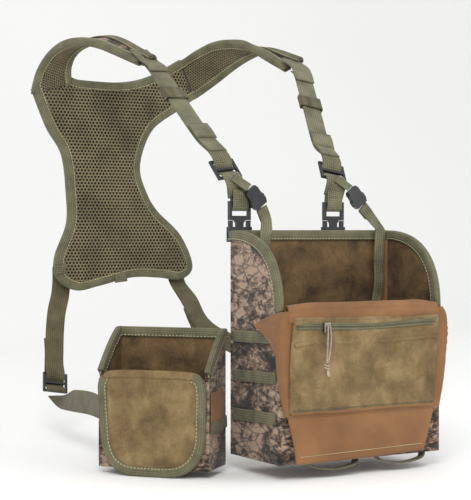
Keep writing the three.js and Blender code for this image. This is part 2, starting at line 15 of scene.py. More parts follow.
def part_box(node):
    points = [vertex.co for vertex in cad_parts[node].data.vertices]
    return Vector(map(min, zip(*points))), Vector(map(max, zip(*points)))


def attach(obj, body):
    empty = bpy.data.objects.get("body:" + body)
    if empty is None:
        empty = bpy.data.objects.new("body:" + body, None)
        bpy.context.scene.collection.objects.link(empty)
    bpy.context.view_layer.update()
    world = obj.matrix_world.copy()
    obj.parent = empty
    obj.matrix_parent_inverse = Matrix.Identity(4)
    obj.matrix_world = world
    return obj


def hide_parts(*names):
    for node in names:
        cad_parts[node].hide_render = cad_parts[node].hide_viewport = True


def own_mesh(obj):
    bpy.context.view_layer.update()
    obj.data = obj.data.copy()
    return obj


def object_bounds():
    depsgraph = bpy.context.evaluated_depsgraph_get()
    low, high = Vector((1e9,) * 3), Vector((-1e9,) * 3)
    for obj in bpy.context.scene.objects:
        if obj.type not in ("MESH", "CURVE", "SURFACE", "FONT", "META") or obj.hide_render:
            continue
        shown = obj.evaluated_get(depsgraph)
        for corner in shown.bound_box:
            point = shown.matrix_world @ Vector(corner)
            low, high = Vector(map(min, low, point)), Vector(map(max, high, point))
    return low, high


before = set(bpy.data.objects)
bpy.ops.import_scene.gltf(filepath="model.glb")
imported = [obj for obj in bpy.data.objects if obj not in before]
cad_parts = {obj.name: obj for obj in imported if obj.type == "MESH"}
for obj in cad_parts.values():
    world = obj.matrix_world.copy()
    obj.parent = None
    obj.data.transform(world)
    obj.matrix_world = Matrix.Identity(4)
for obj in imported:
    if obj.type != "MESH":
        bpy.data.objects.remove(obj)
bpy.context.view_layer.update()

MM = 0.001
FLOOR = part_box("main_floor_panel")[0].z
X, Y, Z = np.eye(3)


def place(points):
    """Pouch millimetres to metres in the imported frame."""
    return np.array(points, float) * MM + (0, 0, FLOOR)


# ---------------------------------------------------------------- camera
LENS, CAMERA_AT, CAMERA_DOWN, CAMERA_TURN = 105, (-939.2, -1396, 250.2), 0.81, 30.97
camera_data = bpy.data.cameras.new("camera")
camera_data.lens = LENS
camera_data.clip_start, camera_data.clip_end = 0.05, 20
camera = bpy.data.objects.new("camera", camera_data)
camera.location = place(CAMERA_AT)
camera.rotation_euler = (math.radians(90 - CAMERA_DOWN), 0, math.radians(-CAMERA_TURN))
bpy.context.scene.collection.objects.link(camera)
bpy.context.scene.camera = camera


# ---------------------------------------------------------------- finishes
def linear(code):
    """A #rrggbb colour as linear RGBA."""
    parts = [int(code[i : i + 2], 16) / 255 for i in (1, 3, 5)]
    return [c / 12.92 if c <= 0.04045 else ((c + 0.055) / 1.055) ** 2.4 for c in parts] + [1.0]


def add(tree, kind, inputs=None, **settings):
    """A node with its settings, its input values and, where an input is a socket, its link."""
    node = tree.nodes.new(kind)
    for key, value in settings.items():
        setattr(node, key, value)
    for key, value in (inputs or {}).items():
        if isinstance(value, bpy.types.NodeSocket):
            tree.links.new(value, node.inputs[key])
        else:
            node.inputs[key].default_value = value
    return node


def start(name, **surface):
    """A new material, its node tree and its Principled shader with these values."""
    material = bpy.data.materials.new(name)
    material.use_nodes = True
    tree = material.node_tree
    shader = tree.nodes["Principled BSDF"]
    for key, value in surface.items():
        shader.inputs[key.replace("_", " ")].default_value = value
    return material, tree, shader


def shades(tree, factor, stops):
    """Colours from a factor: stops are (position, #rrggbb)."""
    ramp = add(tree, "ShaderNodeValToRGB", {"Fac": factor})
    elements = ramp.color_ramp.elements
    while len(elements) < len(stops):
        elements.new(0.5)
    for element, (position, code) in zip(elements, stops):
        element.position = position
        element.color = linear(code)
    return ramp.outputs["Color"]


def spacing(millimetres):
    """Scale of a noise or cell texture whose features are this far apart."""
    return 1000 / millimetres


def waves(millimetres):
    """Scale of a wave texture whose bands are this far apart."""
    return 1000 / millimetres * math.tau / 20


def printed_polyester():
    """600 denier polyester printed with a bark pattern: matt, thread-dotted print."""
    material, tree, shader = start("printed_polyester", Roughness=0.86, Sheen_Weight=0.15)
    where = add(tree, "ShaderNodeTexCoord").outputs["Object"]
    wide = add(tree, "ShaderNodeMapping", {"Vector": where, "Scale": (1, 1, 1.9)}).outputs[0]
    blotch = add(tree, "ShaderNodeTexNoise", {"Vector": wide, "Scale": spacing(58), "Detail": 7,
        "Roughness": 0.66, "Distortion": 0.7})
    flake = add(tree, "ShaderNodeTexNoise", {"Vector": wide, "Scale": spacing(13), "Detail": 5,
        "Roughness": 0.72, "Distortion": 1.1})
    mixed = add(tree, "ShaderNodeMath", {0: blotch.outputs["Fac"], 1: flake.outputs["Fac"]},
        operation="ADD")
    half = add(tree, "ShaderNodeMath", {0: mixed.outputs[0], 1: 0.5}, operation="MULTIPLY")
    bark = shades(tree, half.outputs[0], [(0.4, "#15100D"), (0.46, "#3A2D25"), (0.495, "#624E40"),
        (0.53, "#937B68"), (0.58, "#B09882"), (0.66, "#665244")])
    crack = add(tree, "ShaderNodeTexVoronoi", {"Vector": wide, "Scale": spacing(26),
        "Randomness": 1.0}, feature="DISTANCE_TO_EDGE")
    line = add(tree, "ShaderNodeMapRange", {"Value": crack.outputs["Distance"], "From Max": 0.09,
        "To Min": 0.35, "To Max": 1.0})
    tone = add(tree, "ShaderNodeMix", {"Factor": 1.0, "A": bark, "B": line.outputs[0]},
        data_type="RGBA", blend_type="MULTIPLY")
    # Threads are 0.5 mm apart on the real cloth and drawn at 1.3 mm so that they show.
    thread = add(tree, "ShaderNodeTexVoronoi", {"Vector": where, "Scale": spacing(1.3),
        "Randomness": 0.25})
    dots = add(tree, "ShaderNodeMapRange", {"Value": thread.outputs["Distance"], "From Max": 0.8,
        "To Min": 1.12, "To Max": 0.8})
    colour = add(tree, "ShaderNodeMix", {"Factor": 1.0, "A": tone.outputs["Result"],
        "B": dots.outputs[0]}, data_type="RGBA", blend_type="MULTIPLY")
    bump = add(tree, "ShaderNodeBump", {"Height": thread.outputs["Distance"], "Strength": 0.35,
        "Distance": 0.0004}, invert=True)
    tree.links.new(colour.outputs["Result"], shader.inputs["Base Color"])
    tree.links.new(bump.outputs[0], shader.inputs["Normal"])
    return material


def brushed_tricot(name, dark, middle, pale):
    """Knitted lining brushed to a nap: mottled where the nap lies in different directions."""
    material, tree, shader = start(name, Roughness=0.95, Sheen_Weight=0.35, Sheen_Roughness=0.45)
    shader.inputs["Sheen Tint"].default_value = linear(pale)
    where = add(tree, "ShaderNodeTexCoord").outputs["Object"]
    patch = add(tree, "ShaderNodeTexNoise", {"Vector": where, "Scale": spacing(34), "Detail": 5,
        "Roughness": 0.62, "Distortion": 0.25})
    nap = add(tree, "ShaderNodeTexNoise", {"Vector": where, "Scale": spacing(2.4), "Detail": 3,
        "Roughness": 0.7})
    share = add(tree, "ShaderNodeMix", {"Factor": 0.22, "A": patch.outputs["Fac"],
        "B": nap.outputs["Fac"]})
    colour = shades(tree, share.outputs["Result"], [(0.36, dark), (0.5, middle), (0.66, pale)])
    height = add(tree, "ShaderNodeMix", {"Factor": 0.5, "A": nap.outputs["Fac"],
        "B": patch.outputs["Fac"]})
    bump = add(tree, "ShaderNodeBump", {"Height": height.outputs["Result"], "Strength": 0.45,
        "Distance": 0.0012})
    tree.links.new(colour, shader.inputs["Base Color"])
    tree.links.new(bump.outputs[0], shader.inputs["Normal"])
    return material


def coated_nylon():
    """Coyote-brown 500 denier nylon with a coated back: smooth, tight plain weave."""
    material, tree, shader = start("coated_nylon", Roughness=0.72, Sheen_Weight=0.12)
    where = add(tree, "ShaderNodeTexCoord").outputs["Object"]
    broad = add(tree, "ShaderNodeTexNoise", {"Vector": where, "Scale": spacing(55), "Detail": 3})
    thread = add(tree, "ShaderNodeTexVoronoi", {"Vector": where, "Scale": spacing(1.1),
        "Randomness": 0.2})
    share = add(tree, "ShaderNodeMix", {"Factor": 0.3, "A": broad.outputs["Fac"],
        "B": thread.outputs["Distance"]})
    colour = shades(tree, share.outputs["Result"], [(0.3, "#674421"), (0.48, "#7A522B"),
        (0.65, "#8B6037")])
    bump = add(tree, "ShaderNodeBump", {"Height": thread.outputs["Distance"], "Strength": 0.25,
        "Distance": 0.0003}, invert=True)
    tree.links.new(colour, shader.inputs["Base Color"])
    tree.links.new(bump.outputs[0], shader.inputs["Normal"])
    return material


def ribbed_tape(name, dark, middle, pale, rib, stripe):
    """Woven tape: ribs across it, rib apart, and warp stripes along it, stripe apart (mm)."""
    material, tree, shader = start(name, Roughness=0.78, Sheen_Weight=0.1)
    layout = add(tree, "ShaderNodeUVMap", uv_map="lay").outputs[0]
    across = add(tree, "ShaderNodeTexWave", {"Vector": layout, "Scale": waves(rib),
        "Distortion": 0.6, "Detail": 1, "Detail Scale": 3}, bands_direction="X")
    along = add(tree, "ShaderNodeTexWave", {"Vector": layout, "Scale": waves(stripe),
        "Distortion": 0.3, "Detail": 1}, bands_direction="Y")
    weave = add(tree, "ShaderNodeMath", {0: across.outputs["Fac"], 1: along.outputs["Fac"]},
        operation="MULTIPLY")
    where = add(tree, "ShaderNodeTexCoord").outputs["Object"]
    fade = add(tree, "ShaderNodeTexNoise", {"Vector": where, "Scale": spacing(18), "Detail": 3})
    share = add(tree, "ShaderNodeMix", {"Factor": 0.6, "A": weave.outputs[0],
        "B": fade.outputs["Fac"]})
    colour = shades(tree, share.outputs["Result"], [(0.2, dark), (0.42, middle), (0.7, pale)])
    bump = add(tree, "ShaderNodeBump", {"Height": weave.outputs[0], "Strength": 0.5,
        "Distance": 0.0006})
    tree.links.new(colour, shader.inputs["Base Color"])
    tree.links.new(bump.outputs[0], shader.inputs["Normal"])
    return material


def knitted_yarn(name, dark, pale):
    """Polyester yarn of a spacer mesh: satin threads running round each opening."""
    material, tree, shader = start(name, Roughness=0.7, Sheen_Weight=0.2)
    where = add(tree, "ShaderNodeTexCoord").outputs["Object"]
    twist = add(tree, "ShaderNodeTexNoise", {"Vector": where, "Scale": spacing(1.2), "Detail": 2})
    broad = add(tree, "ShaderNodeTexNoise", {"Vector": where, "Scale": spacing(35), "Detail": 2})
    share = add(tree, "ShaderNodeMix", {"Factor": 0.45, "A": broad.outputs["Fac"],
        "B": twist.outputs["Fac"]})
    colour = shades(tree, share.outputs["Result"], [(0.35, dark), (0.62, pale)])
    bump = add(tree, "ShaderNodeBump", {"Height": twist.outputs["Fac"], "Strength": 0.4,
        "Distance": 0.0004})
    tree.links.new(colour, shader.inputs["Base Color"])
    tree.links.new(bump.outputs[0], shader.inputs["Normal"])
    return material


def moulded_acetal():
    """Injection-moulded black acetal: semi-gloss, fine spark texture, handled edges."""
    material, tree, shader = start("moulded_acetal", IOR=1.48, Coat_Weight=0.15,
        Coat_Roughness=0.25)
    where = add(tree, "ShaderNodeTexCoord").outputs["Object"]
    grain = add(tree, "ShaderNodeTexNoise", {"Vector": where, "Scale": spacing(0.8), "Detail": 2})
    smear = add(tree, "ShaderNodeTexNoise", {"Vector": where, "Scale": spacing(9), "Detail": 4})
    colour = shades(tree, smear.outputs["Fac"], [(0.35, "#141517"), (0.7, "#24262A")])
    gloss = add(tree, "ShaderNodeMapRange", {"Value": smear.outputs["Fac"], "To Min": 0.24,
        "To Max": 0.46})
    bump = add(tree, "ShaderNodeBump", {"Height": grain.outputs["Fac"], "Strength": 0.12,
        "Distance": 0.0002})
    tree.links.new(colour, shader.inputs["Base Color"])
    tree.links.new(gloss.outputs[0], shader.inputs["Roughness"])
    tree.links.new(bump.outputs[0], shader.inputs["Normal"])
    return material


def plated_zinc():
    """Die-cast zinc with a gunmetal plating: fine scratches from use."""
    material, tree, shader = start("plated_zinc", Metallic=1.0)
    where = add(tree, "ShaderNodeTexCoord").outputs["Object"]
    long = add(tree, "ShaderNodeMapping", {"Vector": where, "Scale": (1, 1, 0.15)}).outputs[0]
    scratch = add(tree, "ShaderNodeTexNoise", {"Vector": long, "Scale": spacing(0.7), "Detail": 3})
    colour = shades(tree, scratch.outputs["Fac"], [(0.3, "#7C7A74"), (0.7, "#A9A69E")])
    gloss = add(tree, "ShaderNodeMapRange", {"Value": scratch.outputs["Fac"], "To Min": 0.22,
        "To Max": 0.45})
    tree.links.new(colour, shader.inputs["Base Color"])
    tree.links.new(gloss.outputs[0], shader.inputs["Roughness"])
    return material


CAMO = printed_polyester()
# The lining is the same tricot as the pocket, drawn darker: part of the difference is painted shade
# of the pouch's inside, part the lining's own tone.
LINING_WITH_PAINTED_SHADE = brushed_tricot("lining_tricot_with_painted_shade", "#35291A", "#5A462B", "#79603F")
NAP = brushed_tricot("pocket_tricot", "#58482E", "#735F3E", "#917C56")
COYOTE = coated_nylon()
TAPE = ribbed_tape("grosgrain_tape", "#45432E", "#625E44", "#7B775A", 2.0, 2.6)
WEBBING = ribbed_tape("nylon_webbing", "#47442F", "#6A674C", "#858166", 2.4, 2.8)
SIDE_WEBBING = ribbed_tape("side_nylon_webbing", "#39341F", "#585034", "#6D6546", 2.4, 2.8)
YARN = knitted_yarn("mesh_yarn", "#564D32", "#7D7150")
# The mesh backing is near black: painted shade, standing for the shade seen through the mesh's
# openings.
SHADE_DARK_BACKING = knitted_yarn("mesh_backing_painted_shade", "#100D08", "#1E1A11")
THREAD = knitted_yarn("sewing_thread", "#A39C70", "#CFC79C")
DARK_THREAD = knitted_yarn("dark_thread", "#3E3A26", "#5A5438")
CORD = knitted_yarn("braided_cord", "#7D6B5C", "#B3A08E")
ACETAL = moulded_acetal()
ZINC = plated_zinc()


# ---------------------------------------------------------------- lines and meshes
def resample(line, count):
    """The line with count points at equal distances."""
    line = np.asarray(line, float)
    run = np.concatenate([[0], np.cumsum(np.linalg.norm(np.diff(line, axis=0), axis=1))])
    at = np.linspace(0, run[-1], count)
    return np.stack([np.interp(at, run, line[:, k]) for k in range(line.shape[1])], 1)


def smooth(points):
    """A smooth line through the points."""
    p = np.asarray(points, float)
    if len(p) == 2:
        return p
    ends = np.vstack([2 * p[0] - p[1], p, 2 * p[-1] - p[-2]])
    t = np.linspace(0, 1, 10, endpoint=False)[:, None]
    parts = [0.5 * (2 * b + (c - a) * t + (2 * a - 5 * b + 4 * c - d) * t**2
        + (3 * b - a - 3 * c + d) * t**3) for a, b, c, d in zip(ends, ends[1:], ends[2:], ends[3:])]
    return np.vstack(parts + [p[-1:]])


def length_of(line):
    return float(np.linalg.norm(np.diff(line, axis=0), axis=1).sum())


def unit(vectors):
    return vectors / np.maximum(np.linalg.norm(vectors, axis=-1, keepdims=True), 1e-12)


def directions(line):
    return unit(np.gradient(line, axis=0))


def ripple(points, size, seed):
    """Soft noise between -1 and 1 at each point, its humps about size apart."""
    shift = Vector((seed * 7.3, seed * 3.1, seed * 1.7))
    return np.array([noise.noise(Vector(p) / size + shift) for p in points])


def piece(name, body, material, vertices, faces, layout=None, replaces=()):
    """A smooth-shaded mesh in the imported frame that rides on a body."""
    mesh = bpy.data.meshes.new(name)
    mesh.from_pydata(np.asarray(vertices).tolist(), [], faces)
    if layout is not None:
        chart = mesh.uv_layers.new(name="lay")
        corners = np.zeros(len(mesh.loops), int)
        mesh.loops.foreach_get("vertex_index", corners)
        chart.data.foreach_set("uv", np.asarray(layout)[corners].ravel())
    edit = bmesh.new()
    edit.from_mesh(mesh)
    bmesh.ops.recalc_face_normals(edit, faces=edit.faces)
    edit.to_mesh(mesh)
    edit.free()
    mesh.materials.append(material)
    mesh.shade_smooth()
    made = bpy.data.objects.new(name, mesh)
    bpy.context.scene.collection.objects.link(made)
    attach(made, body)
    if replaces:
        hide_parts(*replaces)
    return made


def quads(rows, columns, close_columns=False, first=0):
    """The four-sided faces of a rows x columns grid of vertices numbered from first."""
    faces = []
    for i in range(rows - 1):
        for j in range(columns if close_columns else columns - 1):
            a, b = i * columns, (i + 1) * columns
            k = (j + 1) % columns
            faces.append((first + a + j, first + a + k, first + b + k, first + b + j))
    return faces


def grid_between(rails, step=4.0, columns=8):
    """Points on the surface through the rails, as a rows x columns grid in millimetres."""
    lines = [smooth(r) for r in rails]
    rows = max(3, int(max(length_of(line) for line in lines) / step) + 1)
    lines = [resample(line, rows) for line in lines]
    stations = np.stack(lines, 1)
    return np.stack([resample(smooth(s), columns) for s in stations])


def normals_of(grid):
    return unit(np.cross(np.gradient(grid, axis=0), np.gradient(grid, axis=1)))


def cloth(name, body, material, rails, thick, columns=8, step=4.0, crown=0.0, wrinkle=0.0,
        size=34.0, seed=1, replaces=(), facing=None):
    """A sewn panel of the given thickness (mm) on the surface through the rails. It crowns
    and wrinkles towards facing in its middle and lies flat along its edges."""
    grid = grid_between(rails, step, columns)
    rows = len(grid)
    normal = normals_of(grid)
    if facing is not None and (normal.mean((0, 1)) @ np.array(facing, float)) < 0:
        normal = -normal
    u = np.linspace(0, 1, rows)[:, None]
    v = np.linspace(0, 1, columns)[None, :]
    calm = np.minimum(1, 4 * np.minimum(np.minimum(u, 1 - u), np.minimum(v, 1 - v)))
    lift = crown * np.sin(math.pi * u) ** 0.6 * np.sin(math.pi * v) ** 0.6
    if wrinkle:
        flat = grid.reshape(-1, 3)
        folds = ripple(flat, size, seed) + 0.45 * ripple(flat, size * 0.4, seed + 5)
        lift = lift + wrinkle * folds.reshape(rows, columns) * calm
    middle = grid + normal * lift[..., None]
    front = middle + normal * thick / 2
    back = middle - normal * thick / 2
    round_the_edge = ([(i, 0) for i in range(rows)] + [(rows - 1, j) for j in range(1, columns)]
        + [(i, columns - 1) for i in range(rows - 2, -1, -1)]
        + [(0, j) for j in range(columns - 2, 0, -1)])
    inward = lambda i, j: (min(max(i, 1), rows - 2), min(max(j, 1), columns - 2))
    hem = np.array([middle[e] + unit(middle[e] - middle[inward(*e)]) * thick * 0.45
        for e in round_the_edge])
    vertices = np.vstack([front.reshape(-1, 3), back.reshape(-1, 3), hem])
    layer, count = rows * columns, len(round_the_edge)
    faces = quads(rows, columns) + [tuple(reversed(f)) for f in quads(rows, columns, first=layer)]
    for k, (i, j) in enumerate(round_the_edge):
        p, q = round_the_edge[(k + 1) % count]
        here, there = i * columns + j, p * columns + q
        rim, next_rim = 2 * layer + k, 2 * layer + (k + 1) % count
        faces += [(here, there, next_rim, rim), (layer + there, layer + here, rim, next_rim)]
    along = np.cumsum(np.r_[0, np.linalg.norm(np.diff(grid[:, columns // 2], axis=0), axis=1)])
    span = np.linalg.norm(grid[:, -1] - grid[:, 0], axis=1)
    chart = np.stack([np.repeat(along[:, None], columns, 1), span[:, None] * (v - 0.5)
        + 0 * u], -1) * MM
    layout = np.vstack([chart.reshape(-1, 2), chart.reshape(-1, 2),
        [chart[e] for e in round_the_edge]])
    return piece(name, body, material, place(vertices), faces, layout, replaces)


def sweep(name, body, material, line, side, face, section, replaces=()):
    """A closed section of (side, face) millimetres carried along a line."""
    section = np.array(section, float)
    rings = (line[:, None] + section[None, :, :1] * side[:, None]
        + section[None, :, 1:] * face[:, None])
    rows, count = rings.shape[:2]
    vertices = rings.reshape(-1, 3)
    faces = quads(rows, count, close_columns=True)
    along = np.cumsum(np.r_[0, np.linalg.norm(np.diff(line, axis=0), axis=1)])
    round_it = np.cumsum(np.r_[0, np.linalg.norm(np.diff(section, axis=0), axis=1)])
    layout = np.stack(np.meshgrid(along, round_it, indexing="ij"), -1).reshape(-1, 2) * MM
    vertices = np.vstack([vertices, rings[0].mean(0), rings[-1].mean(0)])
    layout = np.vstack([layout, [along[0] * MM, 0], [along[-1] * MM, 0]])
    for ring, hub in ((0, rows * count), ((rows - 1) * count, rows * count + 1)):
        faces += [(ring + i, ring + (i + 1) % count, hub) for i in range(count)]
    return piece(name, body, material, place(vertices), faces, layout, replaces)


def flat_section(width, thick):
    """A woven strap's section: flat faces and rounded selvedges."""
    half, t = width / 2, thick / 2
    spots = np.linspace(-half + t, half - t, 6)
    return [(s, t) for s in spots] + [(half, t * 0.3), (half, -t * 0.3)] \
        + [(s, -t) for s in spots[::-1]] + [(-half, -t * 0.3), (-half, t * 0.3)]


def strap(name, body, material, points, width, thick, across=X, step=3.0, replaces=()):
    """Webbing along a smooth line of points, its width lying as near as it can to across."""
    line = smooth(points)
    line = resample(line, max(4, int(length_of(line) / step) + 1))
    along = directions(line)
    side = unit(across - (along @ across)[:, None] * along)
    return sweep(name, body, material, line, side, np.cross(along, side),
        flat_section(width, thick), replaces=replaces)


# Edge tape: how far it laps over a sheet, its thickness, its gap to the sheet, and how far
# its stitches lie from its free edge.
TAPE_REACH, TAPE_SKIN, TAPE_GAP, TAPE_SEAM = 9.0, 1.5, 0.35, 1.6


def folded_section(sheet):
    """Tape folded over an edge: (out of the sheet, across the sheet)."""
    reach = TAPE_REACH
    inner = sheet / 2 + TAPE_GAP
    outer = inner + TAPE_SKIN
    nose = [(outer * 0.55 * math.sin(a), outer * math.cos(a))
        for a in np.linspace(0, math.pi, 9)[1:-1]]
    return [(-reach, inner), (-reach, outer * 0.98), (-reach * 0.5, outer * 1.04), (-0.5, outer),
        *nose, (-0.5, -outer), (-reach * 0.5, -outer * 1.04), (-reach, -outer * 0.98),
        (-reach, -inner), (-0.6, -inner), (-0.6, inner)]


def stitches(name, body, material, rows, pitch=4.0, long=3.0, thread=0.8):
    """Sewn stitches along lines that already lie on the cloth: one small bead of thread each."""
    around = np.linspace(0, math.tau, 6, endpoint=False)
    vertices, faces = [], []
    for line, up in rows:
        count = max(2, int(length_of(line) / pitch))
        spots = resample(line, count)
        along = directions(spots)
        lift = unit(np.broadcast_to(np.asarray(up, float), spots.shape)
            - (along * np.asarray(up, float)).sum(1)[:, None] * along)
        side = np.cross(along, lift)
        for spot, a, s, n in zip(spots, along, side, lift):
            first = len(vertices)
            for shift, radius in ((-0.5, 0.35), (-0.2, 1.0), (0.2, 1.0), (0.5, 0.35)):
                for angle in around:
                    vertices.append(spot + a * shift * long
                        + (s * math.cos(angle) + n * math.sin(angle)) * radius * thread / 2)
            faces += quads(4, 6, close_columns=True, first=first)
            faces += [tuple(range(first, first + 6)), tuple(range(first + 18, first + 24))]
    return piece(name, body, material, place(vertices), faces)


def edge_tape(name, body, edge, normal, out, sheet, replaces=()):
    """Tape round an edge, with a row of stitches near its free edge on both faces."""
    normal = unit(np.broadcast_to(np.asarray(normal, float), edge.shape))
    sweep(name, body, TAPE, edge, out, normal, folded_section(sheet), replaces)
    lie = edge - out * (TAPE_REACH - TAPE_SEAM)
    off = sheet / 2 + TAPE_GAP + TAPE_SKIN * 1.02
    stitches(name + "_stitches", body, THREAD, [(lie + normal * off, normal.mean(0)),
        (lie - normal * off, -normal.mean(0))])


def bezier(a, b, c, d, count=24):
    """Points on a cubic curve from a to d with the handles b and c."""
    t = np.linspace(0, 1, count)[:, None]
    a, b, c, d = (np.array(p, float) for p in (a, b, c, d))
    return a * (1 - t)**3 + 3 * b * t * (1 - t)**2 + 3 * c * t**2 * (1 - t) + d * t**3


def distance_to(outline, spots):
    """Shortest distance from each spot to a closed outline."""
    a, b = outline, np.roll(outline, -1, 0)
    best = np.full(len(spots), 1e9)
    for p, q in zip(a, b):
        d = q - p
        t = np.clip(((spots - p) @ d) / max(d @ d, 1e-9), 0, 1)
        best = np.minimum(best, np.linalg.norm(spots - p - t[:, None] * d, axis=1))
    return best


def within(outline, spots):
    """Which spots lie inside a closed outline."""
    hit = np.zeros(len(spots), bool)
    for (x0, z0), (x1, z1) in zip(outline, np.roll(outline, -1, 0)):
        if z0 != z1:
            hit ^= ((z0 > spots[:, 1]) != (z1 > spots[:, 1])) & (spots[:, 0]
                < (x1 - x0) * (spots[:, 1] - z0) / (z1 - z0) + x0)
    return hit


# A pad's face rises to its full height over about this distance from its edge.
PAD_EDGE = 11


def filled_outline(outline, pitch):
    """A triangle mesh inside a closed outline: its 2D vertices and its triangles."""
    low, high = outline.min(0), outline.max(0)
    xs, zs = np.arange(low[0], high[0], pitch), np.arange(low[1], high[1], pitch)
    spots = np.array([(x + (k % 2) * pitch / 2, z) for k, z in enumerate(zs) for x in xs])
    spots = spots[within(outline, spots) & (distance_to(outline, spots) > pitch * 0.6)]
    points = [Vector(p) for p in np.vstack([outline, spots])]
    n = len(outline)
    made = delaunay_2d_cdt(points, [(i, (i + 1) % n) for i in range(n)], [], 1, 1e-5)
    return np.array([tuple(p) for p in made[0]]), [tuple(f) for f in made[2]]


def outline_pad(name, body, material, outline, front, back, to_pouch, crown=(0.0, 0.0),
        wrinkle=0.0, size=30.0, seed=3, pitch=5.0, replaces=()):
    """A pad cut to an outline drawn in x and z, between two depths; its faces crown."""
    flat, triangles = filled_outline(outline, pitch)
    away = distance_to(outline, flat)
    swell = 1 - np.exp(-(away / PAD_EDGE) ** 2)
    folds = 0
    if wrinkle:
        solid = np.column_stack([flat, np.zeros(len(flat))])
        folds = wrinkle * swell * (ripple(solid, size, seed) + 0.5 * ripple(solid, size / 3, seed))
    near = np.column_stack([flat[:, 0], front - swell * crown[0] + folds, flat[:, 1]])
    far = np.column_stack([flat[:, 0], back + swell * crown[1] + folds, flat[:, 1]])
    n = len(flat)
    ends = [tuple(sorted(e)) for t in triangles for e in zip(t, t[1:] + t[:1])]
    faces = [*triangles, *[tuple(n + i for i in reversed(t)) for t in triangles]]
    faces += [(a, b, n + b, n + a) for a, b in single_edges(ends)]
    layout = np.vstack([flat, flat]) * MM
    return piece(name, body, material, place(to_pouch(np.vstack([near, far]))), faces, layout,
        replaces)


def single_edges(ends):
    """The edges that only one triangle has."""
    seen = {}
    for e in ends:
        seen[e] = seen.get(e, 0) + 1
    return {e for e, times in seen.items() if times == 1}


def net(name, body, material, low, high, keep, onto, pitch, yarn, thick):
    """An open mesh of rounded six-sided cells over a flat region, carried onto a surface."""
    edit = bmesh.new()
    corner = {}
    pitch_z = pitch * 0.866
    for row in range(int((high[1] - low[1]) / pitch_z) + 1):
        for column in range(int((high[0] - low[0]) / pitch) + 1):
            hub = np.array([low[0] + (column + 0.5 * (row % 2)) * pitch, low[1] + row * pitch_z])
            if not keep(hub):
                continue
            ring = []
            for k in range(6):
                angle = math.radians(60 * k + 30)
                spot = hub + np.array([math.cos(angle), math.sin(angle)]) * pitch / math.sqrt(3)
                key = tuple(np.round(spot, 2))
                if key not in corner:
                    corner[key] = edit.verts.new((spot[0], 0, spot[1]))
                ring.append(corner[key])
            edit.faces.new(ring)
    edit.normal_update()
    bmesh.ops.inset_individual(edit, faces=edit.faces[:], thickness=yarn / 2, depth=0)
    inner = [f for f in edit.faces if len(f.verts) == 6]
    bmesh.ops.delete(edit, geom=inner, context="FACES_ONLY")
    mesh = bpy.data.meshes.new(name)
    edit.to_mesh(mesh)
    edit.free()
    flat = np.array([v.co for v in mesh.vertices])[:, (0, 2)]
    mesh.vertices.foreach_set("co", place(onto(flat)).astype(np.float32).ravel())
    mesh.materials.append(material)
    mesh.shade_smooth()
    made = bpy.data.objects.new(name, mesh)
    bpy.context.scene.collection.objects.link(made)
    body_of_yarn = made.modifiers.new("yarn", "SOLIDIFY")
    body_of_yarn.thickness = thick * MM
    body_of_yarn.offset = 0
    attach(made, body)
    return made


# ---------------------------------------------------------------- pull cord
MAIN = dict(width=215, depth=100, height=247, wall=4, back=5, hinge=163, front=162.6)
SIDE = dict(width=128, depth=55, height=149, wall=3, back=3, hinge=106, front=96)
low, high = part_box("zip_pull_cord")
PULL_X, PULL_Y = -56.0, (low.y + high.y) / 2 / MM
PULL_TOP = (high.z - FLOOR) / MM
PULL_DROP = (high.z - low.z) / MM
PULL_THICK = 2.0


def round_section(thick, sides=10):
    return [(math.cos(a) * thick / 2, math.sin(a) * thick / 2)
        for a in np.linspace(0, math.tau, sides, endpoint=False)]


def cord_along(name, line, thick):
    along = directions(line)
    side = unit(X - (along @ X)[:, None] * along)
    return sweep(name, "zip_pull", CORD, line, side, np.cross(along, side), round_section(thick))


strand = resample(smooth([(PULL_X, PULL_Y, PULL_TOP), (PULL_X - 0.5, PULL_Y, PULL_TOP - 12),
    (PULL_X - 1.2, PULL_Y, PULL_TOP - 26), (PULL_X - 2, PULL_Y, PULL_TOP - PULL_DROP)]), 22)
pull_cord = cord_along("pull_cord", strand, PULL_THICK)
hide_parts("zip_pull_cord")
other = resample(smooth([(PULL_X + 2.6, PULL_Y, PULL_TOP), (PULL_X + 3.6, PULL_Y - 0.2,
    PULL_TOP - 13), (PULL_X + 1.9, PULL_Y - 0.4, PULL_TOP - 27), (PULL_X - 0.6, PULL_Y - 0.6,
    PULL_TOP - PULL_DROP + 1)]), 22)
pull_return = cord_along("pull_cord_return", other, PULL_THICK * 0.9)
knot_at = np.array([PULL_X - 2, PULL_Y, PULL_TOP - PULL_DROP - 2.5])
turns = np.linspace(0, 2.2 * math.tau, 44)
wrap = knot_at + np.stack([2.1 * np.cos(turns), 2.0 * np.sin(turns), 2.4 - turns * 0.42], 1)
knot = cord_along("pull_knot", wrap, PULL_THICK * 0.95)
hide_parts("zip_pull_knot")
tails = [cord_along(f"pull_cord_tail_{k}", resample(smooth([knot_at + (0, 0, -1), knot_at
    + (lean * 0.6, 0.2, -5), knot_at + (lean, 0, -11)]), 10), PULL_THICK * 0.9)
    for k, lean in enumerate((1.6, 3.4), 1)]
place(strand[0])
place(strand)


# ---------------------------------------------------------------- pouches
SIDE_TURN = math.radians(-50)
SIDE_AT = np.array((-161, 40, -10))
TURN = np.array(((math.cos(SIDE_TURN), -math.sin(SIDE_TURN), 0),
    (math.sin(SIDE_TURN), math.cos(SIDE_TURN), 0), (0, 0, 1)))


def from_side(points):
    """Side pouch millimetres to pouch millimetres."""
    return np.asarray(points, float) @ TURN.T + SIDE_AT


def as_is(points):
    return np.asarray(points, float)


def turned(vector):
    return TURN @ vector


